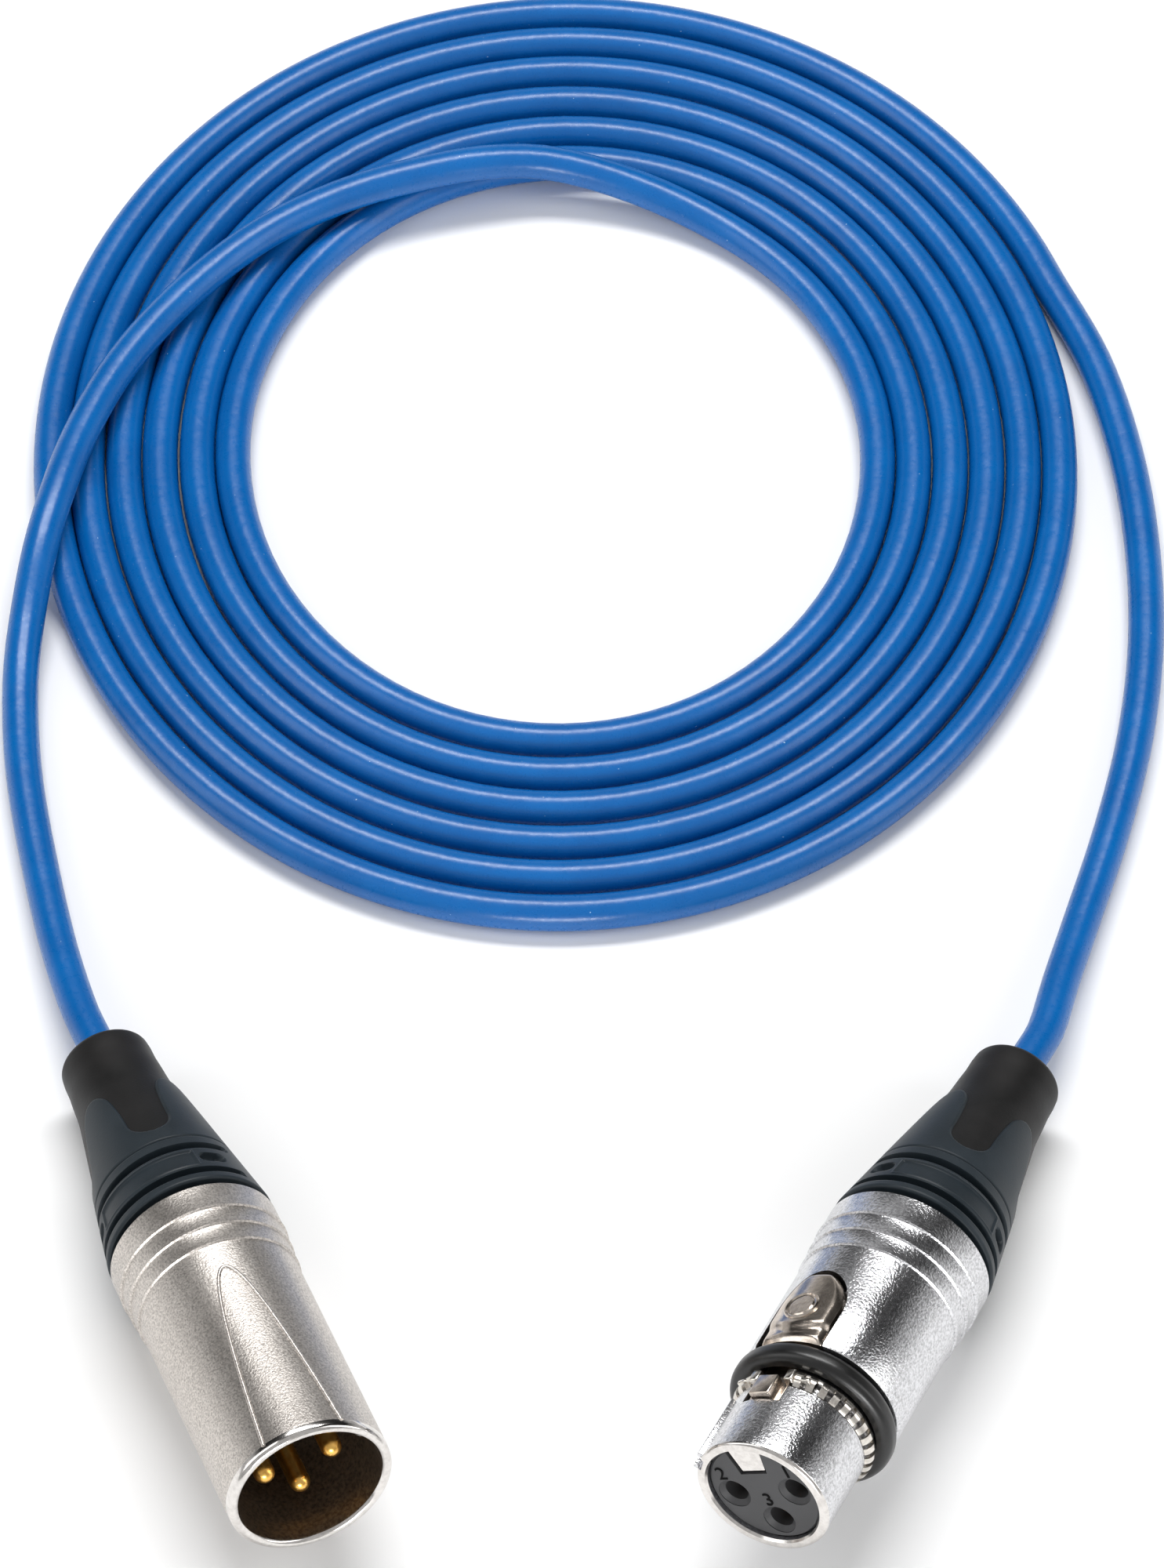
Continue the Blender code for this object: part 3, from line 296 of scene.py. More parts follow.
def joined(pieces, name):
    """Several mesh pieces as one object."""
    shape = bmesh.new()
    material = pieces[0].data.materials[0]
    for piece in pieces:
        copy = piece.data.copy()
        copy.transform(piece.matrix_basis)
        shape.from_mesh(copy)
        bpy.data.meshes.remove(copy)
        bpy.data.objects.remove(piece)
    return sharp(keep(name, shape, material))


def smooth_step(value):
    value = min(1.0, max(0.0, value))
    return value * value * (3 - 2 * value)


# ---------------------------------------------------------------- materials


def set_range(node, *values):
    for socket, value in zip(("From Min", "From Max", "To Min", "To Max"), values):
        node.inputs[socket].default_value = value


class Nodes:
    """A short way to wire a procedural material in object coordinates."""

    def __init__(self, name):
        self.material = bpy.data.materials.new(name)
        self.material.use_nodes = True
        self.tree = self.material.node_tree
        self.shader = self.tree.nodes["Principled BSDF"]
        self.place = self.tree.nodes.new("ShaderNodeTexCoord").outputs["Object"]

    def link(self, source, target):
        self.tree.links.new(source, target)

    def noise(self, scale, detail=3.0, roughness=0.55):
        node = self.tree.nodes.new("ShaderNodeTexNoise")
        node.inputs["Scale"].default_value = scale
        node.inputs["Detail"].default_value = detail
        node.inputs["Roughness"].default_value = roughness
        self.link(self.place, node.inputs["Vector"])
        return node.outputs["Fac"]

    def spread(self, source, low, high, out_low, out_high):
        node = self.tree.nodes.new("ShaderNodeMapRange")
        set_range(node, low, high, out_low, out_high)
        self.link(source, node.inputs["Value"])
        return node.outputs["Result"]

    def blend(self, source, first, second, low=0.35, high=0.65):
        node = self.tree.nodes.new("ShaderNodeValToRGB")
        node.color_ramp.elements[0].position = low
        node.color_ramp.elements[0].color = (*first, 1.0)
        node.color_ramp.elements[1].position = high
        node.color_ramp.elements[1].color = (*second, 1.0)
        self.link(source, node.inputs["Fac"])
        return node.outputs["Color"]

    def bump(self, source, depth, strength=1.0, under=None):
        node = self.tree.nodes.new("ShaderNodeBump")
        node.inputs["Strength"].default_value = strength
        node.inputs["Distance"].default_value = depth
        self.link(source, node.inputs["Height"])
        if under is not None:
            self.link(under, node.inputs["Normal"])
        return node.outputs["Normal"]

    def set(self, **values):
        for name, value in values.items():
            self.shader.inputs[name.replace("_", " ")].default_value = value

    def feed(self, **sources):
        for name, source in sources.items():
            self.link(source, self.shader.inputs[name.replace("_", " ")])


def metal(name, light, dark, rough, grain_scale, grain_depth, metallic=1.0, cloud=90.0):
    """Plated metal: a fine grain in the plating, with slow changes in tone and gloss."""
    nodes = Nodes(name)
    grain = nodes.noise(grain_scale, 2.0, 0.6)
    tone = nodes.noise(cloud, 4.0)
    nodes.set(Metallic=metallic)
    nodes.feed(
        Base_Color=nodes.blend(grain, dark, light, 0.3, 0.62),
        Roughness=nodes.spread(tone, 0.3, 0.7, rough[0], rough[1]),
        Normal=nodes.bump(grain, grain_depth, 0.9),
    )
    return nodes.material


def plastic(name, light, dark, rough, grain_scale, grain_depth, level=0.5, cloud=140.0):
    """Moulded plastic or rubber: a fine grain and faint handling marks."""
    nodes = Nodes(name)
    grain = nodes.noise(grain_scale, 4.0)
    tone = nodes.noise(cloud, 5.0, 0.6)
    nodes.set(Specular_IOR_Level=level)
    nodes.feed(
        Base_Color=nodes.blend(tone, dark, light),
        Roughness=nodes.spread(tone, 0.3, 0.7, rough[0], rough[1]),
        Normal=nodes.bump(grain, grain_depth, 0.7),
    )
    return nodes.material


def jacket_material():
    """Soft blue vinyl: a pebbled skin with faint rings from the extruder, and a few dust specks."""
    nodes = Nodes("blue_jacket_skin")
    tone = nodes.noise(160.0, 3.0)
    pebble = nodes.noise(1500.0, 3.0, 0.6)
    waves = nodes.noise(420.0, 2.0, 0.5)
    skin = nodes.blend(tone, (0.0, 0.105, 0.37), (0.0, 0.125, 0.42), 0.3, 0.7)
    specks = nodes.spread(nodes.noise(2600.0, 1.0), 0.80, 0.84, 0.0, 1.0)
    mix = nodes.tree.nodes.new("ShaderNodeMix")
    mix.data_type = "RGBA"
    mix.inputs["B"].default_value = (0.45, 0.62, 0.8, 1.0)
    nodes.link(specks, mix.inputs["Factor"])
    nodes.link(skin, mix.inputs["A"])
    nodes.set(Specular_IOR_Level=0.45)
    nodes.feed(
        Base_Color=mix.outputs["Result"],
        Roughness=nodes.spread(pebble, 0.3, 0.7, 0.25, 0.34),
        Normal=nodes.bump(pebble, 0.02 * MM, 0.6, nodes.bump(waves, 0.09 * MM, 0.5)),
    )
    return nodes.material


JACKET = jacket_material()
RUBBER = plastic(
    "black_rubber_skin", (0.011, 0.010, 0.010), (0.006, 0.006, 0.006), (0.42, 0.56), 3200.0, 0.02 * MM, 0.25
)
NYLON = plastic(
    "slate_nylon_skin", (0.016, 0.024, 0.031), (0.010, 0.016, 0.021), (0.40, 0.52), 3600.0, 0.02 * MM, 0.3
)
RING_RUBBER = plastic(
    "ring_rubber_skin", (0.010, 0.010, 0.010), (0.006, 0.006, 0.006), (0.28, 0.4), 1800.0, 0.015 * MM
)
VELOUR = metal("velour_nickel", (0.70, 0.655, 0.61), (0.36, 0.33, 0.305), (0.34, 0.40), 4200.0, 0.035 * MM)
BRIGHT = metal("bright_nickel_skin", (0.80, 0.80, 0.82), (0.44, 0.44, 0.45), (0.20, 0.26), 3200.0, 0.055 * MM)
POLISHED = metal("polished_edge", (0.80, 0.77, 0.74), (0.66, 0.63, 0.60), (0.12, 0.2), 1500.0, 0.004 * MM)
WARM = metal("warm_nickel_skin", (0.70, 0.62, 0.54), (0.52, 0.45, 0.39), (0.16, 0.26), 1400.0, 0.012 * MM)
# A darkened copy of the plating for the inside of the male cup: painted shade, not a different finish.
CUP_PAINTED_SHADE = metal("cup_inside_painted_shade", (0.20, 0.15, 0.105), (0.08, 0.06, 0.045), (0.28, 0.40), 2500.0, 0.02 * MM, 0.8)
STEEL = metal("spring_steel_skin", (0.80, 0.76, 0.70), (0.60, 0.56, 0.51), (0.18, 0.28), 1600.0, 0.008 * MM)
GOLD = metal("gold_plate_skin", (0.95, 0.58, 0.16), (0.85, 0.47, 0.10), (0.24, 0.32), 1500.0, 0.006 * MM)
INSERT = plastic(
    "insert_plastic", (0.050, 0.050, 0.053), (0.036, 0.036, 0.038), (0.45, 0.6), 2800.0, 0.015 * MM
)
MARKING = plastic(
    "insert_marking", (0.007, 0.007, 0.007), (0.005, 0.005, 0.005), (0.7, 0.8), 2800.0, 0.01 * MM, 0.05
)
CLAMP = plastic("clamp_plastic", (0.74, 0.74, 0.71), (0.64, 0.64, 0.60), (0.40, 0.5), 2200.0, 0.01 * MM)
COPPER = metal("bare_screen_skin", (0.80, 0.46, 0.30), (0.55, 0.28, 0.17), (0.3, 0.45), 3000.0, 0.03 * MM)
RED = plastic("red_wire_skin", (0.50, 0.02, 0.02), (0.40, 0.01, 0.01), (0.35, 0.45), 1500.0, 0.01 * MM)
WHITE = plastic("white_wire_skin", (0.78, 0.78, 0.75), (0.70, 0.70, 0.66), (0.35, 0.45), 1500.0, 0.01 * MM)


# ---------------------------------------------------------------- connector frames


def joint(name):
    return next(j for j in frame["joints"] if j["name"] == name)


def connector_matrix(prefix):
    """The connector's own axes: its front is opposite to the way its boot unscrews."""
    turn = joint(f"{prefix}_boot_unscrew")
    front = -Vector(turn["axis"]).normalized()
    if prefix == "female":
        side = Vector(joint("latch_press")["axis"]).normalized()
        up = front.cross(side).normalized()
    else:
        up = (Vector((0, 0, 1)) - front * front.z).normalized()
    side = up.cross(front).normalized()
    return Matrix.Translation(turn["pos_m"]) @ Matrix((side, up, front)).transposed().to_4x4()


MATRICES = {prefix: connector_matrix(prefix) for prefix in ("male", "female")}


def place(piece, prefix, body, slot, *nodes):
    """Puts a piece in its connector's frame, on its body, in place of its CAD nodes; the slot argument is not
    used.
    """
    piece.matrix_world = MATRICES[prefix] @ piece.matrix_basis
    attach(piece, body)
    if nodes:
        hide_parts(*nodes)
    return piece


# ---------------------------------------------------------------- camera, light and floor


def camera():
    data = bpy.data.cameras.new("camera")
    data.lens = LENS_MM
    data.sensor_fit = "VERTICAL"
    data.sensor_height = SENSOR_MM
    data.clip_start = 0.05
    made = bpy.data.objects.new("camera", data)
    made.location = CAMERA_PLACE
    look = Vector(CAMERA_TARGET) - Vector(CAMERA_PLACE)
    made.rotation_euler = look.to_track_quat("-Z", "Y").to_euler()
    bpy.context.scene.collection.objects.link(made)
    bpy.context.scene.camera = made


def soft_light(name, location, target, size, power, colour=(1.0, 1.0, 1.0)):
    data = bpy.data.lights.new(name, "AREA")
    data.shape = "RECTANGLE"
    data.size, data.size_y = size
    data.energy = power
    data.color = colour
    made = bpy.data.objects.new(name, data)
    made.location = location
    made.rotation_euler = (Vector(target) - Vector(location)).to_track_quat("-Z", "Y").to_euler()
    bpy.context.scene.collection.objects.link(made)
    return made


def surroundings():
    """A pale room with two soft dark patches at the back, which each barrel shows as a dark streak."""
    world = bpy.data.worlds.new("studio")
    bpy.context.scene.world = world
    world.use_nodes = True
    tree = world.node_tree
    toward = tree.nodes.new("ShaderNodeTexCoord").outputs["Generated"]
    parts = tree.nodes.new("ShaderNodeSeparateXYZ")
    tree.links.new(toward, parts.inputs["Vector"])

    def maths(operation, first, second):
        node = tree.nodes.new("ShaderNodeMath")
        node.operation = operation
        for socket, value in zip(node.inputs, (first, second)):
            if isinstance(value, float):
                socket.default_value = value
            else:
                tree.links.new(value, socket)
        return node.outputs["Value"]

    aside = maths("SUBTRACT", maths("ABSOLUTE", parts.outputs["X"], 0.0), PATCH_ASIDE)
    across = maths("DIVIDE", aside, PATCH_REACH[0])
    height = maths("DIVIDE", maths("SUBTRACT", parts.outputs["Z"], PATCH_HEIGHT), PATCH_REACH[1])
    away = maths("ADD", maths("MULTIPLY", across, across), maths("MULTIPLY", height, height))
    front = maths("LESS_THAN", parts.outputs["Y"], 0.0)
    shade = tree.nodes.new("ShaderNodeMapRange")
    shade.interpolation_type = "SMOOTHSTEP"
    set_range(shade, *PATCH_FADE, PATCH_GLOW, ROOM_GLOW)
    tree.links.new(maths("ADD", away, maths("MULTIPLY", front, 9.0)), shade.inputs["Value"])
    background = tree.nodes["Background"]
    background.inputs["Color"].default_value = (1.0, 1.0, 1.0, 1.0)
    tree.links.new(shade.outputs["Result"], background.inputs["Strength"])


def studio():
    surroundings()
    middle = (0.0, 0.06, 0.0)
    soft_light("window_back", (0.0, 0.52, 0.98), middle, (0.8, 0.27), 9.5)
    soft_light("window_left", (-0.75, -0.05, 0.55), middle, (0.35, 0.9), 1.8)
    soft_light("window_right", (0.8, -0.15, 0.45), middle, (0.3, 0.8), 1.8)
    soft_light("window_front", (0.02, -0.62, 0.10), (0.0, -0.03, 0.015), (0.25, 0.1), 2.0)
    bpy.context.scene.view_settings.view_transform = "Standard"
    shape = bmesh.new()
    bmesh.ops.create_grid(shape, x_segments=1, y_segments=1, size=3.0)
    nodes = Nodes("pale_floor")
    tone = nodes.noise(3.0)
    nodes.feed(Base_Color=nodes.blend(tone, (0.96, 0.96, 0.96), (0.975, 0.975, 0.975)))
    nodes.set(Roughness=0.9, Specular_IOR_Level=0.1)
    floor = keep("floor", shape, nodes.material)


# ---------------------------------------------------------------- the cable


def coil_point(index, angle_deg):
    angle = math.radians(angle_deg)
    return (
        COIL_CENTRE[0] + (COIL_REACH_X - PITCH_X * index) * math.cos(angle),
        COIL_CENTRE[1] + (COIL_REACH_Y - PITCH_Y * index) * math.sin(angle),
    )


def climb():
    points = []
    step_deg = 9
    for angle in range(int(COIL_START_DEG) + step_deg, CLIMB_END_DEG, step_deg):
        share = smooth_step((angle - CLIMB_DEG[0]) / (CLIMB_DEG[1] - CLIMB_DEG[0]))
        lift = math.pi / 2 * share
        index = COIL_TURNS - 1 + (angle - COIL_START_DEG) / 360 + math.cos(lift)
        points.append((*coil_point(index, angle), TUBE_Z + (OVER_Z - TUBE_Z) * math.sin(lift)))
    return points


def smooth_route(points, step):
    """Points a step apart along a centripetal Catmull-Rom curve through the given ones."""
    places = [Vector(p) for p in points]
    places = [places[0] * 2 - places[1]] + places + [places[-1] * 2 - places[-2]]
    fine = []
    for a, b, c, d in zip(places, places[1:], places[2:], places[3:]):
        knots = [0.0]
        for first, second in ((a, b), (b, c), (c, d)):
            knots.append(knots[-1] + math.sqrt((second - first).length))
        count = max(1, round((c - b).length / step))
        for k in range(count):
            t = knots[1] + (knots[2] - knots[1]) * k / count
            ab = a.lerp(b, (t - knots[0]) / (knots[1] - knots[0]))
            bc = b.lerp(c, (t - knots[1]) / (knots[2] - knots[1]))
            cd = c.lerp(d, (t - knots[2]) / (knots[3] - knots[2]))
            abc = ab.lerp(bc, (t - knots[0]) / (knots[2] - knots[0]))
            bcd = bc.lerp(cd, (t - knots[1]) / (knots[3] - knots[1]))
            fine.append(abc.lerp(bcd, (t - knots[1]) / (knots[2] - knots[1])))
    fine.append(places[-2])
    return fine


def cable():
    """One cable from the male boot over the coil, round its turns and on to the female boot."""
    male_end = [MATRICES["male"] @ Vector((0, 0, -back)) for back in STRAIGHT]
    female_end = [MATRICES["female"] @ Vector((0, 0, -back)) for back in reversed(STRAIGHT)]
    # A slow drift of under a tenth of a millimetre keeps the turns from looking machined.
    turns = []
    steps = COIL_TURNS * TURN_POINTS
    for k in range(steps, -1, -1):
        index = k / TURN_POINTS
        x, y = coil_point(index, COIL_START_DEG + 360 * index)
        drift = 0.04 * MM * math.sin(index * 9.7) + 0.03 * MM * math.sin(index * 23.3 + 1.0)
        out = Vector((x - COIL_CENTRE[0], y - COIL_CENTRE[1], 0)).normalized() * drift
        turns.append((x + out.x, y + out.y, TUBE_Z))
    route = [*male_end, *reversed(MALE_ROUTE), *reversed(climb()), *turns, *FEMALE_ROUTE, *female_end]
    piece = tube("cable", smooth_route(route, 2.5 * MM), CABLE_D / 2, JACKET, 6)
    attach(piece, ROOT)
    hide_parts("cable_coil", "cable_tail_male", "cable_tail_female")


# ---------------------------------------------------------------- the boots


def boot_radius(along):
    share = (along - BOOT_NOSE) / (BOOT_L - 0.3 * MM - BOOT_NOSE)
    return BOOT_R_CABLE + (BOOT_R_BASE - BOOT_R_CABLE) * share


def petal_edge(along, across_from_gap, quarter):
    """How far a point lies inside a petal: positive on it, negative in the gap."""
    if along <= PETAL_TIP:
        return along - PETAL_TIP
    bottom = PETAL_VALLEY - PETAL_ROOT
    if along > bottom:
        return math.hypot(across_from_gap, along - bottom) - PETAL_ROOT
    share = (bottom - along) / (bottom - PETAL_TIP)
    half_gap = PETAL_ROOT + (PETAL_MOUTH - PETAL_ROOT) * share * share
    beside = across_from_gap - half_gap
    # The petal's tip is an arc as wide as the petal.
    half_petal = quarter / 2 - half_gap
    from_middle = quarter / 2 - across_from_gap
    reach = min(PETAL_ROUND, half_petal)
    depth = along - PETAL_TIP
    if depth < reach:
        corner = max(0.0, from_middle - (half_petal - reach))
        beside = min(beside, reach - math.hypot(corner, reach - depth))
    return beside


def turn_to(angle_deg, centre_deg, period):
    """The angle from the nearest centre of a pattern."""
    return (angle_deg - centre_deg + period / 2) % period - period / 2


def slot_inset(along, arc, half_arc, middle, half, depth):
    """How deep a round-ended groove is at a point."""
    past = max(0.0, abs(arc) - half_arc)
    gap = math.hypot(past, along - middle) - half
    return depth * smooth_step(0.5 - gap / (0.3 * MM))


def nut_height(prefix, along, angle_deg):
    """The hard nut's surface above or below the boot's cone."""
    radius = boot_radius(along)
    gap = radius * math.radians(abs(turn_to(angle_deg, PETAL_TURN_DEG[prefix], 360 / PETALS)))
    inside = petal_edge(along, gap, math.tau * radius / PETALS)
    height = -GAP_SINK * (1 - smooth_step(0.5 + inside / PETAL_EDGE))
    height -= LINE_DEPTH * max(0.0, 1 - abs(along - LINE_AT) / LINE_HALF)
    panel = turn_to(angle_deg, PANEL_TURN_DEG[prefix], 180.0)
    arc = radius * math.radians(panel)
    slot_arc = radius * math.radians(SLOT_SPAN_DEG)
    for middle in SLOT_AT:
        height -= slot_inset(along, arc, slot_arc, middle, SLOT_HALF, SLOT_DEPTH)
    recess_middle = radius * math.radians(sum(RECESS_DEG) / 2)
    recess_arc = radius * math.radians(RECESS_DEG[1] - RECESS_DEG[0]) / 2 - RECESS_HALF
    middle = sum(PANEL_AT) / 2
    height -= slot_inset(along, abs(arc) - recess_middle, recess_arc, middle, RECESS_HALF, RECESS_DEPTH)
    panel_arc = radius * math.radians(PANEL_SPAN_DEG)
    beyond = max(abs(arc) - panel_arc, PANEL_AT[0] - along, along - PANEL_AT[1])
    height += PANEL_RELIEF * max(0.0, 1 - abs(beyond) / PANEL_LINE)
    if beyond < -PANEL_LINE:
        height -= PANEL_RELIEF
    return height


def boot_nut(prefix):
    """Petals, slots and blank name panel as one finely stepped skin, closed by a rim and a lining."""
    around = 400
    rows = [PETAL_TIP - PETAL_EDGE + SKIN_ROW * k for k in range(int((LINE_AT - PETAL_TIP) / SKIN_ROW))]
    row = rows[-1] + SKIN_ROW_FINE
    while row < BOOT_L - 0.35 * MM:
        rows.append(row)
        row += SKIN_ROW_FINE
    shape = bmesh.new()
    grid = []
    for along in rows:
        ring = []
        for k in range(around):
            angle_deg = 360.0 * k / around
            radius = boot_radius(along) + nut_height(prefix, along, angle_deg)
            # The angle counts from the key, local +Y, toward local +X.
            angle = math.radians(angle_deg)
            ring.append(shape.verts.new((radius * math.sin(angle), radius * math.cos(angle), along)))
        grid.append(ring)
    base = boot_radius(BOOT_L)
    rim = [(base - 0.12 * MM, BOOT_L - 0.1 * MM), (base - 0.4 * MM, BOOT_L), (7.2 * MM, BOOT_L)]
    for radius, along in rim:
        angles = [math.tau * k / around for k in range(around)]
        grid.append([shape.verts.new((radius * math.sin(a), radius * math.cos(a), along)) for a in angles])
    hidden = -0.75 * MM
    for i, (lower, upper) in enumerate(zip(grid, grid[1:])):
        for k in range(around):
            n = (k + 1) % around
            corners = (lower[k], lower[n], upper[n], upper[k])
            if i < len(rows) - 1:
                sunk = [math.hypot(v.co.x, v.co.y) - boot_radius(v.co.z) < hidden for v in corners]
                if all(sunk) and rows[i] < PETAL_VALLEY:
                    continue
            shape.faces.new(corners)
    loose = [v for v in shape.verts if not v.link_faces]
    bmesh.ops.delete(shape, geom=loose, context="VERTS")
    bmesh.ops.recalc_face_normals(shape, faces=shape.faces[:])
    piece = keep(f"{prefix}_nut_skin", shape, NYLON)
    sharp(piece, 60.0)
    place(piece, prefix, f"{prefix}_boot", "slate_nylon", f"{prefix}_boot_nut")
    thread_profile = [(8.0 * MM, 38.1 * MM), (8.0 * MM, BOOT_L - 0.2 * MM), (7.1 * MM, BOOT_L - 0.2 * MM)]
    thread_profile += [(7.1 * MM, 38.5 * MM), (7.6 * MM, 38.5 * MM)]
    thread = turned(f"{prefix}_nut_thread", thread_profile, NYLON, 96)
    place(thread, prefix, f"{prefix}_boot", "slate_nylon")
    # The thread's crests, as one helix round the sleeve.
    pitch, turns, per_turn = 1.5 * MM, 4.2, 48
    crest = []
    for k in range(int(turns * per_turn)):
        angle = math.tau * k / per_turn
        along = BOOT_L + 0.7 * MM + pitch * k / per_turn
        crest.append((8.0 * MM * math.cos(angle), 8.0 * MM * math.sin(angle), along))
    ridge = tube(f"{prefix}_nut_crest", crest, 0.2 * MM, NYLON, 2)
    place(ridge, prefix, f"{prefix}_boot", "slate_nylon")


def boot_gland(prefix):
    """The soft cone that grips the cable."""
    sunk = PETAL_PROUD
    end = PETAL_VALLEY + 2.0 * MM
    mouth = CABLE_D / 2 + 0.05 * MM
    profile = [(boot_radius(end) - sunk - 1.0 * MM, end), (boot_radius(end) - sunk, end - 0.8 * MM)]
    rows = 24
    for k in range(rows):
        along = end - 0.8 * MM - (end - 0.8 * MM - BOOT_NOSE) * (k + 1) / rows
        ease = smooth_step((along - BOOT_NOSE) / (3.0 * MM))
        swell = GLAND_SWELL * (1 - smooth_step((along - 3.0 * MM) / (PETAL_TIP - 3.5 * MM)))
        profile.append((boot_radius(along) - sunk * ease + swell, along))
    arc_steps = 8
    for k in range(1, arc_steps + 1):
        angle = math.pi / 2 * k / arc_steps
        nose = BOOT_NOSE * 1.1
        radius = BOOT_R_CABLE + GLAND_SWELL - nose * (1 - math.cos(angle))
        profile.append((radius, BOOT_NOSE * (1 - math.sin(angle))))
    profile += [(mouth + 0.35 * MM, 0.0), (mouth, 0.3 * MM), (mouth, end)]
    piece = turned(f"{prefix}_gland_skin", profile, RUBBER, 128)
    place(piece, prefix, f"{prefix}_boot", "black_rubber", f"{prefix}_boot_gland")
    return piece


# ---------------------------------------------------------------- the male connector


def shell_rear():
    """The stepped rear of a shell from front to rear, with a fine bead along each step."""
    bead = 0.07 * MM
    line = []
    for steps_up, end in enumerate(reversed(STEP_ENDS)):
        radius = SHELL_R + STEP_RISE * steps_up
        line += [
            (radius, end + 0.30 * MM),
            (radius + 0.03 * MM, end),
            (radius + STEP_RISE + bead, end - 0.14 * MM),
            (radius + STEP_RISE + bead, end - 0.28 * MM),
            (radius + STEP_RISE, end - 0.5 * MM),
        ]
    widest = SHELL_R + STEP_RISE * len(STEP_ENDS)
    return line + [(widest, SHELL_START + 0.35 * MM), (widest - 0.3 * MM, SHELL_START)]


def male_shell():
    rim = 0.62 * MM
    middle = (MALE_CUP_R + SHELL_R) / 2
    arc = []
    arc_steps = 8
    for k in range(arc_steps + 1):
        angle = math.pi * k / arc_steps
        arc.append((middle - rim * math.cos(angle), MALE_L - rim + rim * math.sin(angle)))
    profile = arc + [
        (SHELL_R + 0.04 * MM, MALE_L - 1.1 * MM),
        (SHELL_R, MALE_L - 1.5 * MM),
        (SHELL_R, (MALE_L + STEP_ENDS[-1]) / 2),
        *shell_rear(),
        (SHELL_BORE, SHELL_START),
        (SHELL_BORE, 53.3 * MM),
        (7.5 * MM, 53.3 * MM),
        (7.5 * MM, MALE_CUP_FLOOR),
        (MALE_CUP_R, MALE_CUP_FLOOR),
    ]
    shell = turned("male_shell_skin", profile, VELOUR, 192)
    seat = block("latch_seat", (-2.3 * MM, 7.4 * MM, 61.5 * MM), (2.3 * MM, 8.95 * MM, 65.0 * MM))
    carve(shell, [seat])
    shell.data.materials.append(CUP_PAINTED_SHADE)
    shell.data.materials.append(POLISHED)
    for face in shell.data.polygons:
        spot = face.center
        radius = math.hypot(spot.x, spot.y)
        if radius < MALE_CUP_R + 0.18 * MM and spot.z < MALE_L - 0.4 * MM:
            # The roof of the cup keeps its bright plating and lights the pins; the rest of the cup's inside
            # gets a darkened copy of the plating as painted shade.
            face.material_index = 0 if spot.y > 2.0 * MM and spot.z > MALE_CUP_FLOOR + 0.2 * MM else 1
        elif spot.z > MALE_L - 1.15 * MM:
            face.material_index = 2
    place(shell, "male", ROOT, "satin_nickel", "male_shell")
    key = block(
        "male_key_rib_skin",
        (-0.8 * MM, MALE_CUP_R - 0.5 * MM, MALE_CUP_FLOOR + 2.0 * MM),
        (0.8 * MM, MALE_CUP_R + 0.4 * MM, MALE_L - 1.0 * MM),
        POLISHED,
        -KEY_DEG,
        0.2 * MM,
    )
    place(key, "male", ROOT, "satin_nickel")
    # The raised arch on the key side: a parabola from rim to rim, laid on the barrel.
    apex, half_chord, steps = 43.8 * MM, 4.55 * MM, 160
    front = MALE_L - 1.0 * MM
    points = []
    for k in range(steps + 1):
        share = 2 * k / steps - 1
        across = half_chord * share
        along = apex + (front - apex) * abs(share) ** 2.1
        points.append((across, math.sqrt((SHELL_R - 0.02 * MM) ** 2 - across**2), along))
    arch = tube("male_arch", points, 0.24 * MM, VELOUR, 3)
    place(arch, "male", ROOT, "satin_nickel")


def contact_place(number, mirror):
    angle = math.radians(CONTACTS[number])
    return Vector((mirror * math.sin(angle) * CONTACT_CIRCLE_R, math.cos(angle) * CONTACT_CIRCLE_R, 0.0))


def male_pins():
    dome_steps = 10
    for number in CONTACTS:
        tip = MALE_L - 3.6 * MM + (0.5 * MM if number == "1" else 0.0)
        profile = []
        for k in range(dome_steps + 1):
            angle = math.pi / 2 * k / dome_steps
            profile.append((PIN_R * math.sin(angle), tip - PIN_R * (1 - math.cos(angle))))
        profile += [(PIN_R, CONTACT_TAIL), (PIN_R - 0.35 * MM, CONTACT_TAIL)]
        profile += [(PIN_R - 0.35 * MM, CONTACT_TAIL + 3.2 * MM), (0.0, CONTACT_TAIL + 3.2 * MM)]
        pin = turned(f"male_pin_{number}_skin", profile, GOLD, 48)
        pin.location = contact_place(number, 1)
        place(pin, "male", ROOT, "gold_plate", f"male_pin_{number}")


# ---------------------------------------------------------------- the female connector


def arch_half(along, grow=0.0):
    """Half the width of the latch's arched outline."""
    half = LEVER_HALF + grow
    rise = half * 1.25
    past = along - (LEVER_START - grow)
    if past <= 0:
        return 0.0
    if past >= rise:
        return half
    return half * math.sqrt(1 - ((rise - past) / rise) ** 2)


def arch_outline(grow, end):
    rows = 24
    start = LEVER_START - grow
    rise = (LEVER_HALF + grow) * 1.25
    stations = [start + rise * (k / rows) ** 2 for k in range(rows + 1)]
    right = [(arch_half(along, grow), along) for along in stations]
    right.append((right[-1][0], end))
    return right[1:] + [(-a, b) for a, b in reversed(right)]


def female_shell():
    profile = [
        (SHELL_BORE + 0.6 * MM, BODY_END),
        (SHELL_R - 0.55 * MM, BODY_END),
        (SHELL_R - 0.15 * MM, BODY_END - 0.15 * MM),
        (SHELL_R, BODY_END - 0.55 * MM),
        (SHELL_R, (BODY_END + STEP_ENDS[-1]) / 2),
        *shell_rear(),
        (SHELL_BORE, SHELL_START),
        (SHELL_BORE, BODY_END - 0.5 * MM),
    ]
    shell = turned("female_shell_skin", profile, BRIGHT, 192)
    axes = Matrix(((1, 0, 0), (0, 0, 1), (0, 1, 0)))
    window = extruded("window", arch_outline(0.5 * MM, BODY_END + 2 * MM), 5 * MM, 12 * MM, axes, None)
    carve(shell, [window])
    place(shell, "female", ROOT, "bright_nickel", "female_shell")


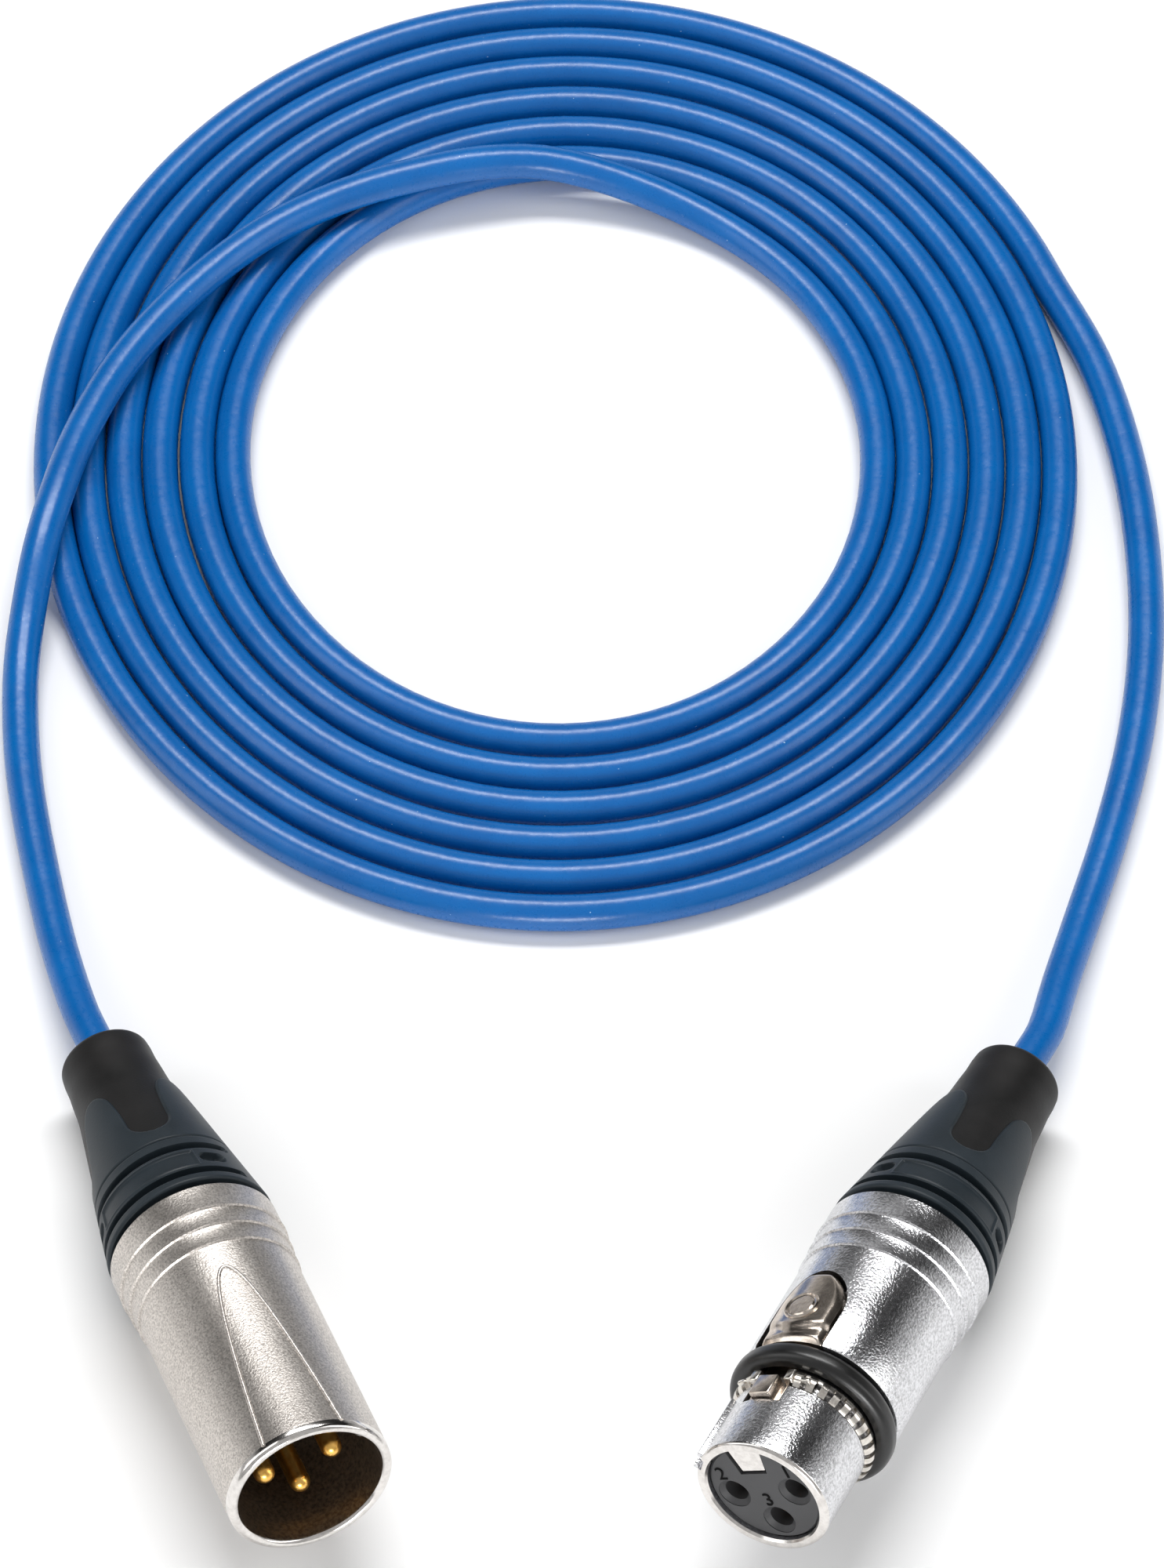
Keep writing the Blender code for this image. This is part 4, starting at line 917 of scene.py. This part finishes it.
def lever():
    """The latch's button: a crowned arch with soft edges and a stepped front, its tongue and its hook."""
    rows, columns = 64, 40
    sole = 7.5 * MM
    shape = bmesh.new()
    top = []
    for i in range(rows + 1):
        share = (i / rows) ** 1.6
        along = LEVER_START + 0.01 * MM + (LEVER_END - LEVER_START - 0.01 * MM) * share
        half = arch_half(along)
        row = []
        for j in range(columns + 1):
            side = 2 * j / columns - 1
            across = half * math.sin(side * math.pi / 2)
            height = math.sqrt(LEVER_TOP**2 - across**2)
            inset = min(half - abs(across), along - LEVER_START, LEVER_END - along)
            height -= 0.55 * MM * (1 - smooth_step(inset / (0.75 * MM)) ** 0.6)
            # The front falls away in a chamfer, deeper at its sides.
            fall = along - (53.5 * MM - 0.25 * abs(across))
            height -= 0.55 * max(0.0, min(fall, 0.8 * MM))
            row.append(shape.verts.new((across, height, along)))
        top.append(row)
    for lower, upper in zip(top, top[1:]):
        for j in range(columns):
            shape.faces.new((lower[j], lower[j + 1], upper[j + 1], upper[j]))
    edge = [row[0] for row in top] + top[-1][1:-1] + [row[-1] for row in reversed(top)] + top[0][-2:0:-1]
    under = [shape.verts.new((v.co.x, sole, v.co.z)) for v in edge]
    for k in range(len(edge)):
        n = (k + 1) % len(edge)
        shape.faces.new((edge[k], edge[n], under[n], under[k]))
    shape.faces.new(under)
    bmesh.ops.recalc_face_normals(shape, faces=shape.faces[:])
    button = sharp(keep("button", shape, WARM), 50.0)
    inner = [
        ("web", (2.1, 5.7, 47.5), (8.6, 54.0), 0.1),
        ("hub", (2.1, 5.5, 45.2), (7.8, 48.0), 0.2),
        ("tongue", (2.1, 5.8, 53.0), (7.35, 63.4), 0.1),
        ("hook", (1.35, 6.2, 60.5), (8.75, 63.5), 0.22),
    ]
    pieces = [button]
    for name, (half, sole_at, rear), (top_at, front), edge_round in inner:
        low = (-half * MM, sole_at * MM, rear * MM)
        high = (half * MM, top_at * MM, front * MM)
        pieces.append(block(name, low, high, WARM, 0.0, edge_round * MM))
    made = joined(pieces, "latch_lever_skin")
    place(made, "female", "female_latch", "warm_nickel", "female_latch_lever")
    # The blank disc in a raised ring.
    upright = Matrix.Rotation(math.radians(-90), 4, "X")
    disc_profile = [(0.0, 0.16 * MM), (1.45 * MM, 0.12 * MM), (1.62 * MM, -0.02 * MM), (1.78 * MM, 0.02 * MM)]
    disc_profile += [(1.9 * MM, 0.17 * MM), (2.02 * MM, 0.17 * MM), (2.14 * MM, 0.0), (2.16 * MM, -0.5 * MM)]
    disc_profile += [(0.0, -0.5 * MM)]
    disc = turned("latch_badge_skin", disc_profile, WARM, 96)
    disc.matrix_basis = Matrix.Translation((0, LEVER_TOP - 0.02 * MM, BADGE_AT)) @ upright
    place(disc, "female", "female_latch", "warm_nickel", "female_latch_badge")


def female_ring():
    arc_steps, rounding = 8, 1.1 * MM
    profile = [(SHELL_BORE, RING_END)]
    angles = [math.pi / 2 * k / arc_steps for k in range(arc_steps + 1)]
    for a in angles:
        profile.append((RING_R - rounding * (1 - math.sin(a)), RING_END - rounding * (1 - math.cos(a))))
    for a in angles:
        profile.append((RING_R - rounding * (1 - math.cos(a)), RING_START + rounding * (1 - math.sin(a))))
    profile.append((SHELL_BORE, RING_START))
    ring = turned("female_ring_skin", profile, RING_RUBBER, 144)
    place(ring, "female", ROOT, "black_rubber", "female_ring")


def ground_ring():
    """A row of bowed fingers round the neck, joined by a band, with a folded tab on each side of the hook."""
    fingers, first_deg, last_deg = 30, 24.0, 336.0
    width = 0.86 * MM
    bow = [(8.0, 58.9), (8.3, 59.2), (8.55, 59.6), (8.65, 60.0), (8.55, 60.5), (8.3, 60.9), (7.95, 61.15)]
    thickness = 0.22 * MM
    section = ((-width / 2, 0.0), (width / 2, 0.0), (width / 2, thickness), (-width / 2, thickness))
    parts = []
    for index in range(fingers):
        turn_deg = first_deg + (last_deg - first_deg) * index / (fingers - 1)
        turn = Matrix.Rotation(-math.radians(turn_deg), 3, "Z")
        shape = bmesh.new()
        grid = []
        for radius, along in bow:
            row = []
            for across, sink in section:
                row.append(shape.verts.new(turn @ Vector((across, radius * MM - sink, along * MM))))
            grid.append(row)
        for lower, upper in zip(grid, grid[1:]):
            for k in range(4):
                n = (k + 1) % 4
                shape.faces.new((lower[k], lower[n], upper[n], upper[k]))
        shape.faces.new(grid[0])
        shape.faces.new(list(reversed(grid[-1])))
        bmesh.ops.recalc_face_normals(shape, faces=shape.faces[:])
        parts.append(keep("finger", shape, STEEL))
    for side in (-1, 1):
        low, high = sorted((side * 1.75 * MM, side * 2.95 * MM))
        tab = block("tab", (low, 7.1 * MM, 59.2 * MM), (high, 8.35 * MM, 60.9 * MM), STEEL, 0.0, 0.28 * MM)
        parts.append(tab)
        fold_low, fold_high = (low, 7.35 * MM, 60.1 * MM), (high, 8.6 * MM, 60.7 * MM)
        parts.append(block("fold", fold_low, fold_high, STEEL, -side * 14.0, 0.2 * MM))
    made = joined(parts, "ground_ring_skin")
    place(made, "female", ROOT, "spring_steel", "female_ground_ring")
    band = turned(
        "ground_band",
        [(7.95 * MM, 59.5 * MM), (8.0 * MM, 58.85 * MM), (7.6 * MM, 58.85 * MM), (7.6 * MM, 59.5 * MM)],
        STEEL,
    )
    gap = block("gap", (-2.9 * MM, 5 * MM, 58 * MM), (2.9 * MM, 10 * MM, 60 * MM))
    carve(band, [gap])
    place(band, "female", ROOT, "spring_steel")


def female_nose():
    lip = 0.5 * MM
    arc = []
    arc_steps = 6
    for k in range(arc_steps + 1):
        angle = math.pi / 2 * k / arc_steps
        arc.append((NOSE_R - lip * (1 - math.sin(angle)), FEMALE_L - lip * (1 - math.cos(angle))))
    profile = [
        (NOSE_BORE + 0.2 * MM, FEMALE_L),
        *arc,
        (NOSE_R, FEMALE_L - 3.0 * MM),
        (NOSE_R, NOSE_START + 0.15 * MM),
        (NOSE_R - 0.15 * MM, NOSE_START),
        (NECK_R, NOSE_START),
        (NECK_R, 59.1 * MM),
        (8.0 * MM, 59.1 * MM),
        (8.0 * MM, 44.2 * MM),
        (NOSE_BORE, 44.2 * MM),
        (NOSE_BORE, FEMALE_L - 0.3 * MM),
    ]
    nose = turned("female_nose_skin", profile, BRIGHT, 192)
    slot = block("slot", (-2.5 * MM, 2 * MM, 43 * MM), (2.5 * MM, 12 * MM, 63.8 * MM))
    well = block("well", (-4.4 * MM, 2 * MM, 48.3 * MM), (4.4 * MM, 12 * MM, 56.0 * MM))
    groove = block("groove", (-0.8 * MM, 7.45 * MM, 61.0 * MM), (0.8 * MM, 9 * MM, 72 * MM), None, KEY_DEG)
    rail_low, rail_high = (-1.3 * MM, 7.4 * MM, 61.7 * MM), (1.3 * MM, 8.45 * MM, 70.6 * MM)
    rail = block("rail", rail_low, rail_high, None, KEY_DEG, 0.12 * MM)
    carve(nose, [rail], "UNION")
    carve(nose, [slot, well, groove])
    nose.data.materials.append(POLISHED)
    for face in nose.data.polygons:
        if face.center.z > FEMALE_L - 0.32 * MM:
            face.material_index = 1
    place(nose, "female", ROOT, "bright_nickel", "female_nose")
    # The bright key land that shows in the insert's keyway: wider toward the rim.
    outline = [(-1.55 * MM, 3.0 * MM), (1.55 * MM, 3.0 * MM), (2.15 * MM, 6.55 * MM), (-2.15 * MM, 6.55 * MM)]
    axes = Matrix.Identity(3)
    land = extruded("key_land", outline, 64.0 * MM, FEMALE_FACE - 0.2 * MM, axes, POLISHED)
    rounded(land, 0.15 * MM)
    place(land, "female", ROOT, "bright_nickel")


def female_insert():
    body_r = NOSE_BORE - 0.06 * MM
    profile = [
        (0.0, FEMALE_FACE),
        (body_r - 0.25 * MM, FEMALE_FACE),
        (body_r, FEMALE_FACE - 0.25 * MM),
        (body_r, 44.0 * MM),
        (0.0, 44.0 * MM),
    ]
    insert = turned("female_insert_skin", profile, INSERT, 128)
    cutters = [
        block("channel", (-2.6 * MM, 3.2 * MM, 43 * MM), (2.6 * MM, 12 * MM, 64.2 * MM)),
        extruded(
            "keyway",
            [(-1.75 * MM, 2.8 * MM), (1.75 * MM, 2.8 * MM), (2.5 * MM, 7.4 * MM), (-2.5 * MM, 7.4 * MM)],
            63.9 * MM,
            72 * MM,
            Matrix.Identity(3),
            None,
        ),
    ]
    hole = [
        (0.0, FEMALE_FACE + 1.0 * MM),
        (1.95 * MM, FEMALE_FACE + 1.0 * MM),
        (1.95 * MM, FEMALE_FACE - 0.1 * MM),
        (1.4 * MM, FEMALE_FACE - 0.6 * MM),
        (1.4 * MM, 66.9 * MM),
        (1.9 * MM, 66.9 * MM),
        (1.9 * MM, 43.2 * MM),
        (0.0, 43.2 * MM),
    ]
    for number in CONTACTS:
        cutter = turned(f"hole_{number}", hole, None, 64)
        cutter.location = contact_place(number, -1)
        cutters.append(cutter)
    carve(insert, cutters)
    place(insert, "female", ROOT, "black_insulator", "female_insert")
    # The contacts' numbers, raised a little and upright for someone who looks at the front.
    spots = {"1": (4.4, 2.9), "2": (-4.4, 2.9), "3": (0.0, -1.1)}
    for number, (across, height) in spots.items():
        text = bpy.data.curves.new(f"digit_{number}", "FONT")
        text.body = number
        text.size = 2.5 * MM
        text.extrude = 0.1 * MM
        text.align_x = "CENTER"
        text.align_y = "CENTER"
        holder = bpy.data.objects.new("digit", text)
        bpy.context.scene.collection.objects.link(holder)
        bpy.context.view_layer.update()
        graph = bpy.context.evaluated_depsgraph_get()
        mesh = bpy.data.meshes.new_from_object(holder.evaluated_get(graph))
        bpy.data.objects.remove(holder)
        mesh.materials.clear()
        mesh.materials.append(MARKING)
        digit = bpy.data.objects.new(f"insert_number_{number}", mesh)
        bpy.context.scene.collection.objects.link(digit)
        digit.matrix_basis = Matrix.Translation((across * MM, height * MM, FEMALE_FACE))
        place(digit, "female", ROOT, "black_insulator")


# ---------------------------------------------------------------- nodes that stay


def kept_nodes():
    looks = {
        "chuck": CLAMP,
        "cable_end": JACKET,
        "wire_1": COPPER,
        "wire_2": RED,
        "wire_3": WHITE,
    }
    for prefix in ("male", "female"):
        for ending, material in looks.items():
            paint(f"{prefix}_{ending}", material)
    paint("male_insert", INSERT)
    for number in CONTACTS:
        paint(f"female_socket_{number}", GOLD)
    paint("female_latch_pin", STEEL)
    paint("female_latch_spring", STEEL)


def paint(node, material):
    piece = frame["nodes"][node]
    piece.data.materials.clear()
    piece.data.materials.append(material)


camera()
studio()
for end in ("male", "female"):
    boot_nut(end)
    boot_gland(end)
male_shell()
male_pins()
female_shell()
lever()
female_ring()
ground_ring()
female_nose()
female_insert()
kept_nodes()
cable()
